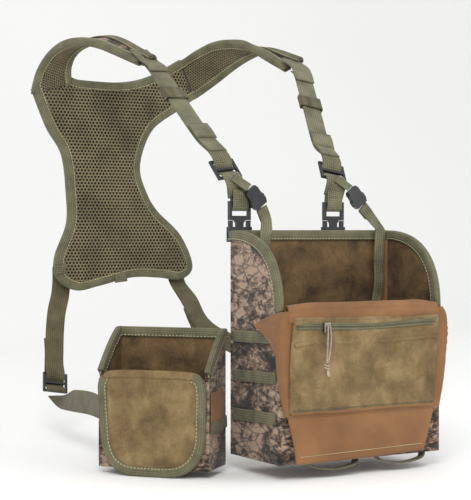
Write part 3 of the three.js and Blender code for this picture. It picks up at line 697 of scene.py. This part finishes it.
def pouch(prefix, size, handles, to_pouch, turn, wrinkle):
    """Shell, lining and rim tape of an open pouch with its rear face on y = 0."""
    half, depth, height = size["width"] / 2, size["depth"], size["height"]
    wall, back, front_top = size["wall"], size["back"], size["front"]
    shell, lining = 0.45 * wall, 0.38 * wall
    rim = bezier((-depth, size["hinge"]), *handles, (-back - 2.2, height))
    rim = np.vstack([rim, (-1.0, height)])
    foot = np.column_stack([np.linspace(-depth, -1, len(rim)), np.full(len(rim), 0.3)])
    for sign, side in ((-1, "right"), (1, "left")):
        for layer, at, thick, material, look in (
                ("panel_shell", half - shell / 2, shell, CAMO, 1),
                ("panel_lining", half - wall + lining / 2, lining, LINING_WITH_PAINTED_SHADE, -1)):
            clear = np.array((1.9 - depth, 0.0))
            rails = [to_pouch(np.insert(np.maximum(line, clear), 0, sign * at, 1))
                for line in (foot, rim)]
            cloth(f"{prefix}_{side}_{layer}", "pack", material, rails, thick, columns=30,
                wrinkle=wrinkle, facing=turn(X * sign * look), seed=3 + sign,
                replaces=[f"{prefix}_{side}_panel"] if look == 1 else ())
    inside = half - wall - 0.35
    for name, y, z0, z1, thick, material, look, hides in (
            ("rear_shell", -0.45 * back / 2, 0.3, height, 0.45 * back, CAMO, 1, "rear"),
            ("rear_lining", -back + 0.9, 4, height, 1.5, LINING_WITH_PAINTED_SHADE, -1, None),
            ("front_shell", -depth + 0.9, 0.3, front_top, 1.8, CAMO, -1, "front"),
            ("front_lining", -depth + wall - 0.9, 4, front_top, 1.5, LINING_WITH_PAINTED_SHADE, 1, None),
            ):
        reach = half if "shell" in name else inside
        rails = [to_pouch([(x, y, z) for z in (z0, z1)]) for x in np.linspace(-reach, reach, 3)]
        cloth(f"{prefix}_{name}", "pack", material, rails, thick, columns=44, wrinkle=wrinkle,
            facing=turn(Y * look), seed=len(name),
            replaces=[f"{prefix}_{hides}_panel"] if hides else ())
    cloth(f"{prefix}_floor_shell", "pack", CAMO, [to_pouch([(x, -depth + 4, 1.6), (x, -back, 1.6)])
        for x in np.linspace(-inside, inside, 3)], wall * 0.7, columns=40, crown=-0.4,
        facing=-Z, replaces=[f"{prefix}_floor_panel"])
    for sign, side in ((-1, "right"), (1, "left")):
        bend = np.vstack([rim[:-1], (1.8, height)])
        edge = to_pouch(np.insert(resample(bend, 60), 0, sign * (half - wall / 2), 1))
        along = directions(edge)
        normal = turn(X)
        out = np.cross(normal, along)
        out *= 1 if out[0] @ turn(-Y) > 0 else -1
        edge_tape(f"{prefix}_{side}_rim_tape", "pack", edge, normal, out, wall,
            replaces=[f"{prefix}_rim_binding"] if sign < 0 else ())
    line = to_pouch([(x, -back / 2, height) for x in np.linspace(1.5 - half, half - 1.5, 50)])
    edge_tape(f"{prefix}_rear_rim_tape", "pack", line, turn(Y), np.broadcast_to(Z, line.shape),
        back)


pouch("main", MAIN, ((-100, 215), (-70, 247)), as_is, as_is, 1.1)
pouch("side", SIDE, ((-49, 113), (-24, 140)), from_side, turned, 0.8)

# Ladder webbing down both sides of the main pouch, tacked at its ends and its middle.
LADDER_HEIGHTS = (46, 89, 132)
for sign, side in ((-1, "right"), (1, "left")):
    for row, z in enumerate(LADDER_HEIGHTS, 1):
        x = sign * (MAIN["width"] / 2 + 1.2)
        line = [(x + sign * 0.9 * math.sin(math.pi * i / 4) ** 2, -95 + 11 * i,
            z + 3 * (1 - i / 8)) for i in range(9)]
        strap(f"{side}_ladder_webbing_{row}", "pack", TAPE, line, 13, 1.2, across=Z,
            replaces=[f"right_ladder_row_{row}"] if sign < 0 else ())
        tacks = [(np.array([(x + sign * 0.9, y, z - 5 + 3 * share), (x + sign * 0.9, y,
            z + 5 + 3 * share)]), X * sign) for y, share in ((-93, 1), (-51, 0.5), (-9, 0))]
        stitches(f"{side}_ladder_tacks_{row}", "pack", DARK_THREAD, tacks, pitch=1.6, long=1.5,
            thread=0.7)

# Coyote tape over the inner seam of the main pouch's left rear corner.
cloth("inner_corner_tape", "pack", COYOTE, [[(97.5, -5.9, 60), (97.5, -5.9, 236)],
    [(102.6, -9.5, 60), (102.6, -9.5, 238)]], 1.0, columns=5)
# Webbing loops along the front of the floor, for a strap or a rolled jacket.
for k, x in enumerate((-72, 20), 1):
    strap(f"floor_loop_{k}", "pack", TAPE, [(x, -94, 1), (x + 8, -99, -5), (x + 34, -100, -9),
        (x + 60, -99, -6), (x + 68, -94, 1)], 10, 1.3, across=Y)


# ---------------------------------------------------------------- main lid
LID = dict(half=100, top=162.5, seam=50, bottom=1, face=-104.6, sheet=2.6)


def lid_edge(sign, z):
    """Half-width of the lid at a height: it narrows downwards, more on the left."""
    share = (LID["top"] - z) / (LID["top"] - LID["seam"])
    return sign * (LID["half"] - (6 if sign > 0 else -0.5) * share)


def lid_rail(sign, z0, z1, y, inset=0.0, count=6):
    return [(lid_edge(sign, z) - sign * inset, y, z) for z in np.linspace(z0, z1, count)]


LID_MID = LID["face"] - LID["sheet"] / 2
# The top of the lid rolls over its hinge as one soft band, rounded at both ends.
band = [[(x, -99.4, 161.5), (x, -98.8, 166.5), (x, -101.2, 170.8), (x, -104.6, 170.6),
    (x, -106.8, 166.5), (x, -107.6, 160), (x, -107.8, 152)] for x in np.linspace(-100, 100, 9)]
for k, drop in ((0, 2.4), (8, 3.4)):
    band[k] = [(x, y, z - drop * (0.4 if i in (0, 6) else 1)) for i, (x, y, z) in
        enumerate(band[k])]
cloth("lid_hinge_band", "main_lid", COYOTE, band, 1.6, columns=70, step=2.0, wrinkle=0.35,
    size=16, replaces=["main_lid_hinge_fold"])
cloth("lid_inner_panel", "main_lid", COYOTE, [lid_rail(s, LID["seam"], LID["top"] - 2, LID_MID)
    for s in (-1, 1)], LID["sheet"], columns=60, wrinkle=0.5, replaces=["main_lid_panel"])
pocket = [[(-99.5, 55), (-99.3, 100), (-97, 130), (-93.5, 156)],
    [(-30, 54.6), (-30, 100), (-30, 130), (-30, 155)],
    [(35, 54.2), (35, 100), (35, 130), (35, 154)],
    [(92, 54), (94, 90), (97.4, 125), (99, 152)]]
POCKET_Y = -108.75
cloth("lid_pocket_cloth", "main_lid", NAP, [[(x, POCKET_Y, z) for x, z in rail]
    for rail in pocket], 2.2, columns=64, step=2.5, crown=1.0, wrinkle=1.5, size=38, seed=8,
    facing=-Y, replaces=["main_lid_pocket"])
# A second fold below the zip, where the pocket cloth is turned over its facing.
for name, z, drop in (("pocket_zip_fold", 151.5, 1.6), ("pocket_lower_fold", 129, 1.2)):
    fold = [(x, -110.6 - 0.4 * math.sin(x / 23), z - drop * math.cos(x / 31) - 3 * (x < -70)
        * (-70 - x) / 28) for x in np.linspace(-95, 97, 40)]
    strap(name, "main_lid", NAP, fold, 4.2, 1.5, across=Z)
zip_line = [(x, -110.7, 146.2 - 1.2 * math.cos(x / 30)) for x in np.linspace(-92, 92, 30)]
strap("pocket_zip_tape", "main_lid", TAPE, zip_line, 7.5, 1.0, across=Z,
    replaces=["pocket_zip_track"])
teeth = [(np.array([p[:3] for p in zip_line]) - (0, 0.7, 0), -Y)]
stitches("pocket_zip_coil", "main_lid", DARK_THREAD, teeth, pitch=1.7, long=1.2, thread=1.6)
stitches("pocket_seam_stitches", "main_lid", DARK_THREAD,
    [([(x, -110.6, 58) for x in np.linspace(-96, 89, 60)], -Y)], pitch=3.2)

# Side gussets, turned inside out, folded round the front corners of the pouch.
for sign, side in ((-1, "right"), (1, "left")):
    rows = [(163, -103, 108), (156, -82, 112), (147, -61, 113.4), (136, -84, 113.4),
        (127, -99, 112.6), (92, -101, 110.5), (52, -104, 103.2)]
    root = [(lid_edge(sign, z) + 0.6 - sign * 1.5, -107.2, z) for z, y, x in rows]
    crest = [(sign * (x - 2.4), -107.4, z) for z, y, x in rows]
    corner = [(sign * (x - 0.3), -104.6, z) for z, y, x in rows]
    free = [(sign * x, y, z) for z, y, x in rows]
    gusset = cloth(f"{side}_lid_gusset_cloth", "main_lid", COYOTE,
        [root, crest, corner, free], 1.2, columns=26, step=2.5, wrinkle=0.8, size=22,
        seed=11 + sign, facing=X * sign, replaces=[f"{side}_lid_gusset"])
    place((sign * 98.5, -106, 0))
    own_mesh(gusset)

# The tongue below the seam, with its hem and the pocket of its closing strip.
TONGUE_TOP = LID["seam"] - 0.7
tongue = [[(-89, LID_MID, 1), (-92, LID_MID, 20), (-99.5, LID_MID, TONGUE_TOP)],
    [(-4, LID_MID, 1.8), (-4, LID_MID, 22), (-3, LID_MID, TONGUE_TOP)],
    [(80, LID_MID, 4), (86, LID_MID, 22), (93.5, LID_MID, TONGUE_TOP)]]
cloth("tongue_cloth", "lid_tongue", COYOTE, tongue, 2.4, columns=60, step=3, wrinkle=0.9, size=44,
    seed=21, facing=-Y, replaces=["lid_tongue"])
stitches("tongue_hem_stitches", "lid_tongue", THREAD, [([(x, -107.4, 8.2 + 0.018 * (x + 85))
    for x in np.linspace(-84, 76, 50)], -Y)], pitch=3.2, thread=0.6)
cloth("closing_strip_pocket", "lid_tongue", COYOTE, [[(x, -103.2, 9), (x, -102.5, 12),
    (x, -102.4, 22), (x, -103.2, 25)] for x in (-43, -5, 33)], 0.9, columns=20,
    replaces=["tongue_magnet_strip"])
roll = [(x, -109.2, 54.6 + 0.4 * math.sin(x / 19)) for x in np.linspace(-98.5, 92.5, 44)]
strap("lid_seam_fold", "main_lid", COYOTE, roll, 3.4, 1.7, across=Z)


# ---------------------------------------------------------------- side pouch lid
S_TOP, S_BOTTOM, S_DEPTH = 104, -6, -60.5
outline = np.vstack([
    bezier((-48, S_TOP), (-57, S_TOP), (-61, 97), (-61, 82), 8)[:-1],
    bezier((-57, 32), (-53, 2), (-37, S_BOTTOM), (-14, S_BOTTOM), 12)[:-1],
    bezier((14, S_BOTTOM), (41, S_BOTTOM), (58, 6), (62, 38), 12)[:-1],
    bezier((62, 80), (62, 96), (58, S_TOP - 1), (50, S_TOP), 8)])
dense = np.vstack([resample(np.vstack([a, b]), max(2, int(np.hypot(*(b - a)) / 4) + 1))[:-1]
    for a, b in zip(outline, np.roll(outline, -1, 0))])
outline_pad("side_lid_cloth", "side_lid", NAP, dense, S_DEPTH - 1.5, S_DEPTH + 1.5,
    from_side, crown=(1.8, 0.3), wrinkle=1.5, size=30, seed=5, pitch=3.4,
    replaces=["side_lid_panel"])
rim = resample(outline[3:], 110)
edge = np.column_stack([rim[:, 0], np.full(len(rim), S_DEPTH), rim[:, 1]])
run = directions(edge)
out = np.stack([run[:, 2], np.zeros(len(run)), -run[:, 0]], 1)
out *= np.where(((edge - edge.mean(0)) * out).sum(1) > 0, 1, -1)[:, None]
edge_tape("side_lid_rim_tape", "side_lid", from_side(edge), turned(Y), out @ TURN.T, 3.0,
    replaces=["side_lid_binding"])
# The lid's cloth rolls over the front edge, and its lining runs down inside.
cloth("side_lid_roll", "side_lid", NAP, [from_side([(x, -58.8, 103 - drop),
    (x, -59.2, 106.4 - drop), (x, -61.2, 107.4 - drop), (x, -62.6, 104.6 - drop),
    (x, -62.8, 100 - drop)]) for x, drop in ((-55, 4.6), (-48, 1.6), (-30, 0.2),
    (0, 0), (30, 0.2), (50, 1.4), (57, 4.4))],
    1.3, columns=40, step=1.5)
cloth("side_front_edge_roll", "pack", LINING_WITH_PAINTED_SHADE, [from_side([(x, -51.6, 90), (x, -52.0, 97.6),
    (x, -54.0, 98.8), (x, -55.6, 96.5), (x, -55.8, 90)]) for x in np.linspace(-60, 60, 5)],
    1.2, columns=40, step=1.5)
# Stretch pocket and its webbing band on the side pouch's left wall, toward the main pouch.
wall_x = SIDE["width"] / 2 + 1.2
cloth("side_stretch_pocket", "pack", COYOTE, [from_side([(wall_x, y, 42), (wall_x + bulge, y, 60),
    (wall_x + 0.4, y, 84)]) for y, bulge in ((-50, 0.5), (-30, 2.6), (-10, 0.5))], 1.2,
    columns=20, step=2.5, wrinkle=1.2, size=12, seed=31, facing=turned(X))
strap("side_wall_band", "pack", TAPE, from_side([(wall_x + 1.6, -53, 47), (wall_x + 2.6, -30, 46),
    (wall_x + 1.6, -4, 49)]), 13, 1.3, across=Z)

# ---------------------------------------------------------------- back yoke
YOKE_Y, YOKE_THICK = 380, 8
flank = smooth([(-182, 435), (-161, 386), (-139, 350), (-132, 298), (-132, 257), (-149, 213),
    (-146, 186), (-121, 172), (-90, 177), (-39, 188), (4, 187), (36, 184), (52, 200), (33, 241),
    (-3, 274), (-20, 300), (-30, 331), (-23, 364), (-5, 393), (33, 418), (58, 435)])
neck = smooth([(37, 482), (-10, 457), (-55, 446), (-114, 446), (-129, 449)])
yoke = resample(np.vstack([flank, neck, flank[:1]]), 190)[:-1]
YOKE_FRONT = YOKE_Y - YOKE_THICK / 2
outline_pad("yoke_back_cloth", "pack", CAMO, yoke, YOKE_Y, YOKE_Y + 4, as_is,
    crown=(0, 2.4), wrinkle=0.6, size=40, pitch=6)
# The yoke's backing sheet takes the near-black finish: painted shade seen through the mesh's
# openings.
yoke_core = outline_pad("yoke_mesh_backing", "pack", SHADE_DARK_BACKING, yoke, YOKE_FRONT + 0.6,
    YOKE_Y - 0.4, as_is, crown=(2.2, 0), pitch=6, replaces=["yoke_panel"])


def on_yoke(flat):
    swell = 1 - np.exp(-(distance_to(yoke, flat) / PAD_EDGE) ** 2)
    channel = 1.1 * np.exp(-((flat[:, 0] + 100) / 3.0) ** 2) + 0.9 * np.exp(
        -((flat[:, 0] + 38) / 3.0) ** 2)
    return np.column_stack([flat[:, 0], YOKE_FRONT - 0.9 - swell * 2.2 + channel * 0.5,
        flat[:, 1]])


MESH_PITCH, YARN_WIDE = 4.9, 1.9
net("yoke_mesh_face", "pack", YARN, yoke.min(0), yoke.max(0),
    lambda hub: within(yoke, hub[None])[0] and distance_to(yoke, hub[None])[0] > 6, on_yoke,
    MESH_PITCH, YARN_WIDE, 0.9)
for name, border in (("flank", flank), ("neck", neck)):
    line = resample(border, int(length_of(border) / 4))
    line = np.insert(line, 1, YOKE_Y, 1)
    run = directions(line)
    out = np.stack([run[:, 2], np.zeros(len(run)), -run[:, 0]], 1)
    probe = within(yoke, (line + out * 2)[:, (0, 2)])
    out *= np.where(probe, -1, 1)[:, None]
    edge_tape(f"yoke_{name}_tape", "pack", line, Y, out, YOKE_THICK + 0.6,
        replaces=["yoke_binding"] if name == "flank" else ())
for name, x, z in (("yoke_foot_tab", -58, 184), ("yoke_corner_tab", -148, 196)):
    strap(name, "pack", WEBBING, [(x - 9, YOKE_FRONT - 2.6, z), (x + 9, YOKE_FRONT - 2.6, z + 2)],
        12, 1.4, across=Z)

# Arms: padded strips between an outer and an inner edge, mesh below and cloth above.
ARM_THICK, ARM_COLUMNS = 6, 12
ARMS = {
    "right": (
        [(-183, 379, 428), (-181, 379.5, 439.4), (-176, 378, 457), (-167, 368, 477),
        (-157, 352, 489), (-151, 325, 492), (-145, 297, 488), (-139, 272, 482),
        (-134, 250, 474), (-127, 225, 464), (-121, 198, 454)],
        [(-129, 379, 442), (-131, 379.5, 453.4), (-132, 376, 466), (-130, 367, 480),
        (-125, 350, 490), (-118, 315, 495), (-114, 280, 493), (-111, 245, 483),
        (-108, 215, 471), (-104, 188, 460)]),
    "left": (
        [(31, 379, 479), (42.4, 379.5, 484), (51, 355, 495), (64, 325, 504), (77, 285, 501),
        (82, 262, 491), (90, 238, 476), (97, 205, 459)],
        [(52, 379, 431), (63.4, 379.5, 436), (79, 355, 453), (93, 320, 474), (100, 290, 485),
        (104, 265, 490), (110, 238, 485), (120, 200, 472)])}


def arm(side, rails):
    grid = grid_between(rails, 4.0, ARM_COLUMNS)
    normal = normals_of(grid)
    if normal[1, 6] @ -Y < 0:
        normal = -normal
    inner, outer = grid + normal * 1.5, grid - normal * 1.5
    # The arm's backing takes the near-black finish: painted shade seen through the net's openings.
    core = cloth(f"{side}_arm_mesh_backing", "pack", SHADE_DARK_BACKING, [inner[:, j] for j in
        range(ARM_COLUMNS)], 2.2, columns=ARM_COLUMNS, facing=normal[1, 6],
        replaces=[f"{side}_arm_pad"])
    cloth(f"{side}_arm_outer_cloth", "pack", CAMO, [outer[:, j] for j in range(ARM_COLUMNS)],
        2.2, columns=16, wrinkle=0.5, size=20)
    middle = grid[:, 6]
    total = length_of(middle)
    width = np.linalg.norm(grid[:, -1] - grid[:, 0], axis=1)

    def onto(flat):
        i = np.clip(flat[:, 0] / total, 0, 1) * (len(grid) - 1)
        i0 = np.minimum(i.astype(int), len(grid) - 2)
        part = (i - i0)[:, None, None]
        row = grid[i0] * (1 - part) + grid[i0 + 1] * part
        up = normal[i0] * (1 - part) + normal[i0 + 1] * part
        j = np.clip(flat[:, 1] / np.interp(i, range(len(width)), width) + 0.5, 0, 1) * (
            ARM_COLUMNS - 1)
        j0 = np.minimum(j.astype(int), ARM_COLUMNS - 2)
        t = (j - j0)[:, None]
        pick = np.arange(len(flat))
        spot = row[pick, j0] * (1 - t) + row[pick, j0 + 1] * t
        return spot + unit(up[pick, j0]) * 3.2

    def keep(hub):
        across = np.interp(hub[0] / total, np.linspace(0, 1, len(width)), width)
        return 1 < hub[0] < total - 4 and abs(hub[1]) < across / 2 - 5.5

    net(f"{side}_arm_mesh_face", "pack", YARN, (0, -26), (total, 26), keep, onto, 3.6, 1.4,
        0.8)
    for edge, inner_line, which in ((grid[:, 0], grid[:, 1], "a"), (grid[:, -1], grid[:, -2], "b")):
        out = unit(edge - inner_line)
        across = normal[:, 0 if which == "a" else -1]
        edge_tape(f"{side}_arm_edge_tape_{which}", "pack", edge, across, out, ARM_THICK - 0.4)


for side, rails in ARMS.items():
    arm(side, rails)

# ---------------------------------------------------------------- shoulder straps
WEB_WIDE, WEB_THICK = 25, 1.6
WEAVE = ((-24, -3.1), (-9.8, -3.1), (-2.4, 3.1), (2.4, 3.1), (9.8, -3.1), (22, -3.1))
SHOULDERS = {
    "right": dict(start=(-111, 186, 451.5), run=((-110.5, 172, 445), (-107.5, 60, 355)),
        adjuster=(-101.5, 22, 318), end=(-94, 9.5, 288)),
    "left": dict(start=(104, 182, 452), run=((99, 165, 443), (60, 66, 351)),
        adjuster=(47, 25, 318), end=(37.5, 9.5, 288))}
KEEPER_AT, KEEPER_LONG, KEEPER_ROWS = 0.38, 22, 8


def strap_frame(along, across=X):
    """Unit vectors along a strap, across it and out of its face."""
    down = unit(np.asarray(along, float))
    side = unit(across - (across @ down) * down)
    return down, side, np.cross(side, down)


for side, plan in SHOULDERS.items():
    a, b = (np.array(p, float) for p in plan["run"])
    centre, end = np.array(plan["adjuster"], float), np.array(plan["end"], float)
    down, wide, face = strap_frame(end - b)
    woven = [centre + down * d + face * n for d, n in WEAVE]
    strap(f"{side}_shoulder_webbing", "pack", WEBBING, [plan["start"], a, a * 0.5 + b * 0.5, b,
        *woven, end], WEB_WIDE, WEB_THICK, across=wide, step=2,
        replaces=[f"{side}_shoulder_strap"])
    # The doubled tail lies on the strap from the adjuster up to its folded end.
    run_down, run_wide, run_face = strap_frame(b - a)
    outward = -1 if run_face @ -Y < 0 else 1
    top = a + run_down * 121
    tail = [top + run_face * outward * 2.3, a + run_down * 134 + run_face * outward * 2.5,
        b + run_face * outward * 2.3, (b + woven[0]) / 2 + face * outward * 2.0,
        woven[0] + face * outward * 1.9]
    strap(f"{side}_strap_tail", "pack", WEBBING, tail, WEB_WIDE - 0.6, WEB_THICK, across=run_wide)
    strap(f"{side}_strap_tail_fold", "pack", WEBBING, [top + run_face * outward * 4.3,
        a + run_down * 134 + run_face * outward * 5.0,
        a + run_down * 148 + run_face * outward * 4.2], WEB_WIDE + 2.6, 2.2, across=run_wide)
    rows = [(np.array([c - run_wide * 11, c + run_wide * 11]), run_face * outward)
        for c in (a + run_down * d + run_face * outward * o for d, o in ((123, 5.9), (146, 5.7)))]
    stitches(f"{side}_strap_tail_stitches", "pack", DARK_THREAD, rows, pitch=2.6, long=1.9)
    # The keeper is a sleeve of webbing with a smooth patch on its outer face.
    spot = a + (b - a) * KEEPER_AT
    section = [(s * (WEB_WIDE / 2 + 2.4), f * 3.2) for s, f in ((-1, -0.6), (-0.96, -1), (0.96, -1),
        (1, -0.6), (1, 0.6), (0.96, 1), (-0.96, 1), (-1, 0.6))]
    stations = np.linspace(-KEEPER_LONG / 2, KEEPER_LONG / 2, KEEPER_ROWS)
    ring, layer = len(section), KEEPER_ROWS * len(section)
    outer, core = (np.array([[spot + run_down * d + run_wide * s * wide_by + run_face * f * deep_by
        for s, f in section] for d in stations]).reshape(-1, 3)
        for wide_by, deep_by in ((1, 1), (0.965, 0.8)))
    tube = [face for first in (0, layer)
        for face in quads(KEEPER_ROWS, ring, close_columns=True, first=first)]
    for at in (0, layer - ring):
        tube += [(at + i, at + (i + 1) % ring, layer + at + (i + 1) % ring, layer + at + i)
            for i in range(ring)]
    spread = np.array([(d * MM, k * 0.006) for d in np.linspace(0, KEEPER_LONG, KEEPER_ROWS)
        for k in range(ring)])
    piece(f"{side}_keeper_sleeve", f"{side}_keeper", SIDE_WEBBING,
        place(np.vstack([outer, core])), tube, np.vstack([spread, spread]),
        [f"{side}_strap_keeper"])
    stitches(f"{side}_keeper_stitches", f"{side}_keeper", DARK_THREAD, [(np.array([
        spot + run_down * d + run_face * outward * 3.3 - run_wide * 11,
        spot + run_down * d + run_face * outward * 3.3 + run_wide * 11]), run_face * outward)
        for d in (-9, 9)], pitch=2.6, long=1.9)
    # Loop of the strap's end round the top bar of the chest buckle, sewn to itself.
    bar = (np.array([*(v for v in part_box(f"{side}_buckle_plug")[1])]) - (0, 0, FLOOR)) / MM
    bar_x = (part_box(f"{side}_buckle_plug")[0].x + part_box(f"{side}_buckle_plug")[1].x) / 2 / MM
    bar_y, bar_z = 7.4, bar[2] - 1.7
    strap(f"{side}_buckle_loop", "pack", WEBBING, [(bar_x + 1.2, bar_y + 3.6, bar_z + 12),
        (bar_x + 0.4, bar_y + 3.5, bar_z + 3), (bar_x, bar_y + 2.9, bar_z - 6.4),
        (bar_x, bar_y, bar_z - 8.8), (bar_x, bar_y - 2.9, bar_z - 6.4),
        (bar_x + 0.2, bar_y - 3.6, bar_z + 3), (bar_x + 1.6, bar_y - 2.2, bar_z + 14)],
        20.4, 1.5, across=X, step=1.5)
    stitches(f"{side}_buckle_loop_stitches", "pack", DARK_THREAD, [(np.array([
        (bar_x - 8, bar_y - 4.2, bar_z + 7.5), (bar_x + 9, bar_y - 4.2, bar_z + 7.5)]), -Y)],
        pitch=2.4, long=1.8)
    tab_low, tab_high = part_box(f"{side}_buckle_tab")
    x, z0 = (tab_low.x + tab_high.x) / 2 / MM, (tab_low.z - FLOOR) / MM
    strap(f"{side}_buckle_tab_webbing", "pack", WEBBING, [(x, 1.3, z0), (x, 1.3, z0 + 25),
        (x, 2.2, z0 + 39)], WEB_WIDE, WEB_THICK, across=X, replaces=[f"{side}_buckle_tab"])
    stitches(f"{side}_buckle_tab_stitches", "pack", DARK_THREAD, [
        (np.array([(x - 10, 2.2, z0 + d), (x + 10, 2.2, z0 + d)]), Y) for d in (4, 22)]
        + [(np.array([(x - 10, 2.2, z0 + 4), (x + 10, 2.2, z0 + 22)]), Y),
        (np.array([(x + 10, 2.2, z0 + 4), (x - 10, 2.2, z0 + 22)]), Y)], pitch=2.8)

# Webbing end of each shoulder strap, sewn over the end of its arm.
for side, (x, y, z), back in (("right", (-111.5, 196, 460.5), (-113, 214, 472)),
        ("left", (106, 192, 464), (104, 208, 472))):
    a, b = (np.array(p, float) for p in SHOULDERS[side]["run"])
    strap(f"{side}_arm_end_webbing", "pack", WEBBING, [a + unit(b - a) * 9 + (0, -1.6, 2.2),
        a + (0, -0.8, 3.4), (x, y - 10, z - 5.5), (x, y, z), back], WEB_WIDE + 1.5, 2.0, across=X)

# ---------------------------------------------------------------- tethers
TETHERS = {
    "right": ([(-99, 8.2, 308.6), (-92, 3.5, 303), (-84.5, -1, 297)],
        [(-67.5, -1, 275), (-62, -1, 263), (-63, -4, 255.5), (-66, -8.6, 250.2), (-70, -12, 240),
        (-70, -12.5, 195)]),
    "left": ([(43, 10.6, 310.2), (50, 6, 304), (55.5, 1, 298.5)],
        [(72.5, 0, 277.5), (84, 0, 266), (91, -4, 255.5), (92, -8.6, 250.2), (89, -12.5, 240),
        (86.5, -13.6, 215), (88, -12.6, 190), (84, -13, 165)])}
for side, (upper, lower) in TETHERS.items():
    for part, points in (("upper", upper), ("lower", lower)):
        strap(f"{side}_tether_{part}_webbing", "pack", WEBBING, points, 14, 1.2, across=X, step=2,
            replaces=[f"{side}_tether_{part}"])
    top, tip = np.array(lower[0], float), np.array(lower[1], float)
    down, wide, face = strap_frame(tip - top)
    strap(f"{side}_tether_fold", "pack", WEBBING, [top + face * 1.5 + down * 1, top + face * 1.7
        + down * 8, top + face * 1.5 + down * 15], 14.6, 1.3, across=wide)

# ---------------------------------------------------------------- side straps
BEHIND = YOKE_Y + 7.8
adjuster_at = np.array((-170.5, 338, 52))
side_run = smooth([(-139, BEHIND, 200), (-140, BEHIND, 168), (-152, 377, 134), (-163, 357, 92),
    (-168, 346, 68)])
down, wide, face = strap_frame(side_run[-1] - side_run[-9], np.array((1, 0, 0.1)))
threaded = [adjuster_at + down * d * (0.6 if d > 20 else 1) + face * n for d, n in WEAVE[1:]]
strap("right_side_webbing", "pack", SIDE_WEBBING, [*side_run[:-3:6], *threaded], WEB_WIDE,
    WEB_THICK, across=wide, step=2, replaces=["right_side_strap"])
strap("right_side_webbing_tail", "pack", SIDE_WEBBING, [adjuster_at + face * 5 - down * 4,
    adjuster_at + face * 7 - down * 22, adjuster_at + face * 6 - down * 44, adjuster_at
    + face * 9 - down * 64], WEB_WIDE - 1, WEB_THICK, across=wide)
cloth("right_side_webbing_lower", "pack", SIDE_WEBBING, [
    [(-183, 331, 36), (-182, 300, 25), (-187, 250, 26), (-196, 180, 30), (-213, 104, 32)],
    [(-158, 331, 35), (-166, 300, 43), (-182, 250, 51), (-194, 180, 56), (-212.5, 104, 57)]],
    WEB_THICK, columns=8, replaces=["right_side_strap_lower"])
ring_loop = from_side([(-64, 1.6, 56), (-72, 1.9, 56), (-77, 0.8, 56), (-78.6, -2.6, 56),
    (-76, -5.2, 56), (-70, -5.4, 56)])
strap("strap_ring_loop", "pack", SIDE_WEBBING, ring_loop, 24, 1.5, across=Z, step=1.5)
cloth("left_side_webbing", "pack", SIDE_WEBBING, [
    [(24, BEHIND, 196), (24, BEHIND, 178), (18, 340, 150), (16, 300, 121), (20, 255, 100),
    (40, 180, 80), (72, 95, 73), (103, 25, 78), (110.6, 4, 82), (110.6, -14, 84)],
    [(49, BEHIND, 196), (48, BEHIND, 178), (43, 345, 157), (40, 310, 131), (40, 262, 116),
    (50, 185, 104), (75, 98, 99), (103, 25, 104), (110.6, 4, 108), (110.6, -14, 110)]],
    WEB_THICK, columns=8, step=3, replaces=["left_side_strap"])
cloth("left_side_webbing_tail", "pack", SIDE_WEBBING, [
    [(17, 334, 143), (13, 312, 126), (10, 292, 112), (8, 280, 106)],
    [(39, 336, 150), (35, 316, 134), (31, 298, 122), (28, 288, 116)]], 1.5, columns=6)

# ---------------------------------------------------------------- plastic and metal
SHARP_FROM = 35  # degrees


def soften(node, material, width):
    """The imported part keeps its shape; its edges are rounded and it takes its finish."""
    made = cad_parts[node]
    made.data.materials.clear()
    made.data.materials.append(material)
    edge = made.modifiers.new("rounded_edges", "BEVEL")
    edge.width = width * MM
    edge.segments = 3
    edge.limit_method = "ANGLE"
    edge.angle_limit = math.radians(SHARP_FROM)
    edge.harden_normals = True
    made.data.shade_smooth()


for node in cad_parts:
    if "adjuster" in node or "socket" in node or "plug" in node or "prong" in node:
        soften(node, ACETAL, 0.9)
    elif "tether_buckle" in node or "strap_ring" in node:
        soften(node, ACETAL, 1.1)
soften("pocket_zip_slider", ZINC, 0.6)

# ---------------------------------------------------------------- floor and light
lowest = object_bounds()[0].z
floor_mesh = bpy.data.meshes.new("floor")
# The floor runs flat to BEND_AT behind the object, then curves up into a wall.
BEND_AT, BEND, WALL_TOP, FLOOR_FRONT, FLOOR_HALF = 1.6, 1.6, 6.0, -4.0, 6
sweep_up = [(FLOOR_FRONT, 0.0), (BEND_AT, 0.0)] + [(BEND_AT + BEND * math.sin(a),
    BEND - BEND * math.cos(a)) for a in np.linspace(0.1, math.pi / 2, 16)] + [
    (BEND_AT + BEND, WALL_TOP)]
floor_mesh.from_pydata([(x, y, lowest + z) for y, z in sweep_up
    for x in (-FLOOR_HALF, FLOOR_HALF)], [],
    quads(len(sweep_up), 2))
floor_mesh.shade_smooth()
pale, tree, shader = start("pale_floor", Roughness=0.9)
where = add(tree, "ShaderNodeTexCoord").outputs["Object"]
cloud = add(tree, "ShaderNodeTexNoise", {"Vector": where, "Scale": 0.7, "Detail": 2})
tree.links.new(shades(tree, cloud.outputs["Fac"], [(0.3, "#F4F4F3"), (0.7, "#F8F8F7")]),
    shader.inputs["Base Color"])
floor_mesh.materials.append(pale)
floor = bpy.data.objects.new("floor", floor_mesh)
bpy.context.scene.collection.objects.link(floor)

world = bpy.data.worlds.new("studio")
world.use_nodes = True
world.node_tree.nodes["Background"].inputs["Color"].default_value = (1, 1, 1, 1)
world.node_tree.nodes["Background"].inputs["Strength"].default_value = 0.9
bpy.context.scene.world = world
bpy.context.scene.view_settings.view_transform = "Standard"


def softbox(name, place_at, aim, size, power):
    lamp = bpy.data.lights.new(name, "AREA")
    lamp.size = size
    lamp.energy = power
    made = bpy.data.objects.new(name, lamp)
    made.location = place_at
    made.rotation_euler = (Vector(aim) - Vector(place_at)).to_track_quat("-Z", "Y").to_euler()
    bpy.context.scene.collection.objects.link(made)


softbox("key_light", (-1.2, -1.5, 1.5), (0, 0, 0.1), 0.9, 26)
softbox("fill_light", (1.6, -1.2, 0.8), (0, 0, 0.05), 1.2, 9)
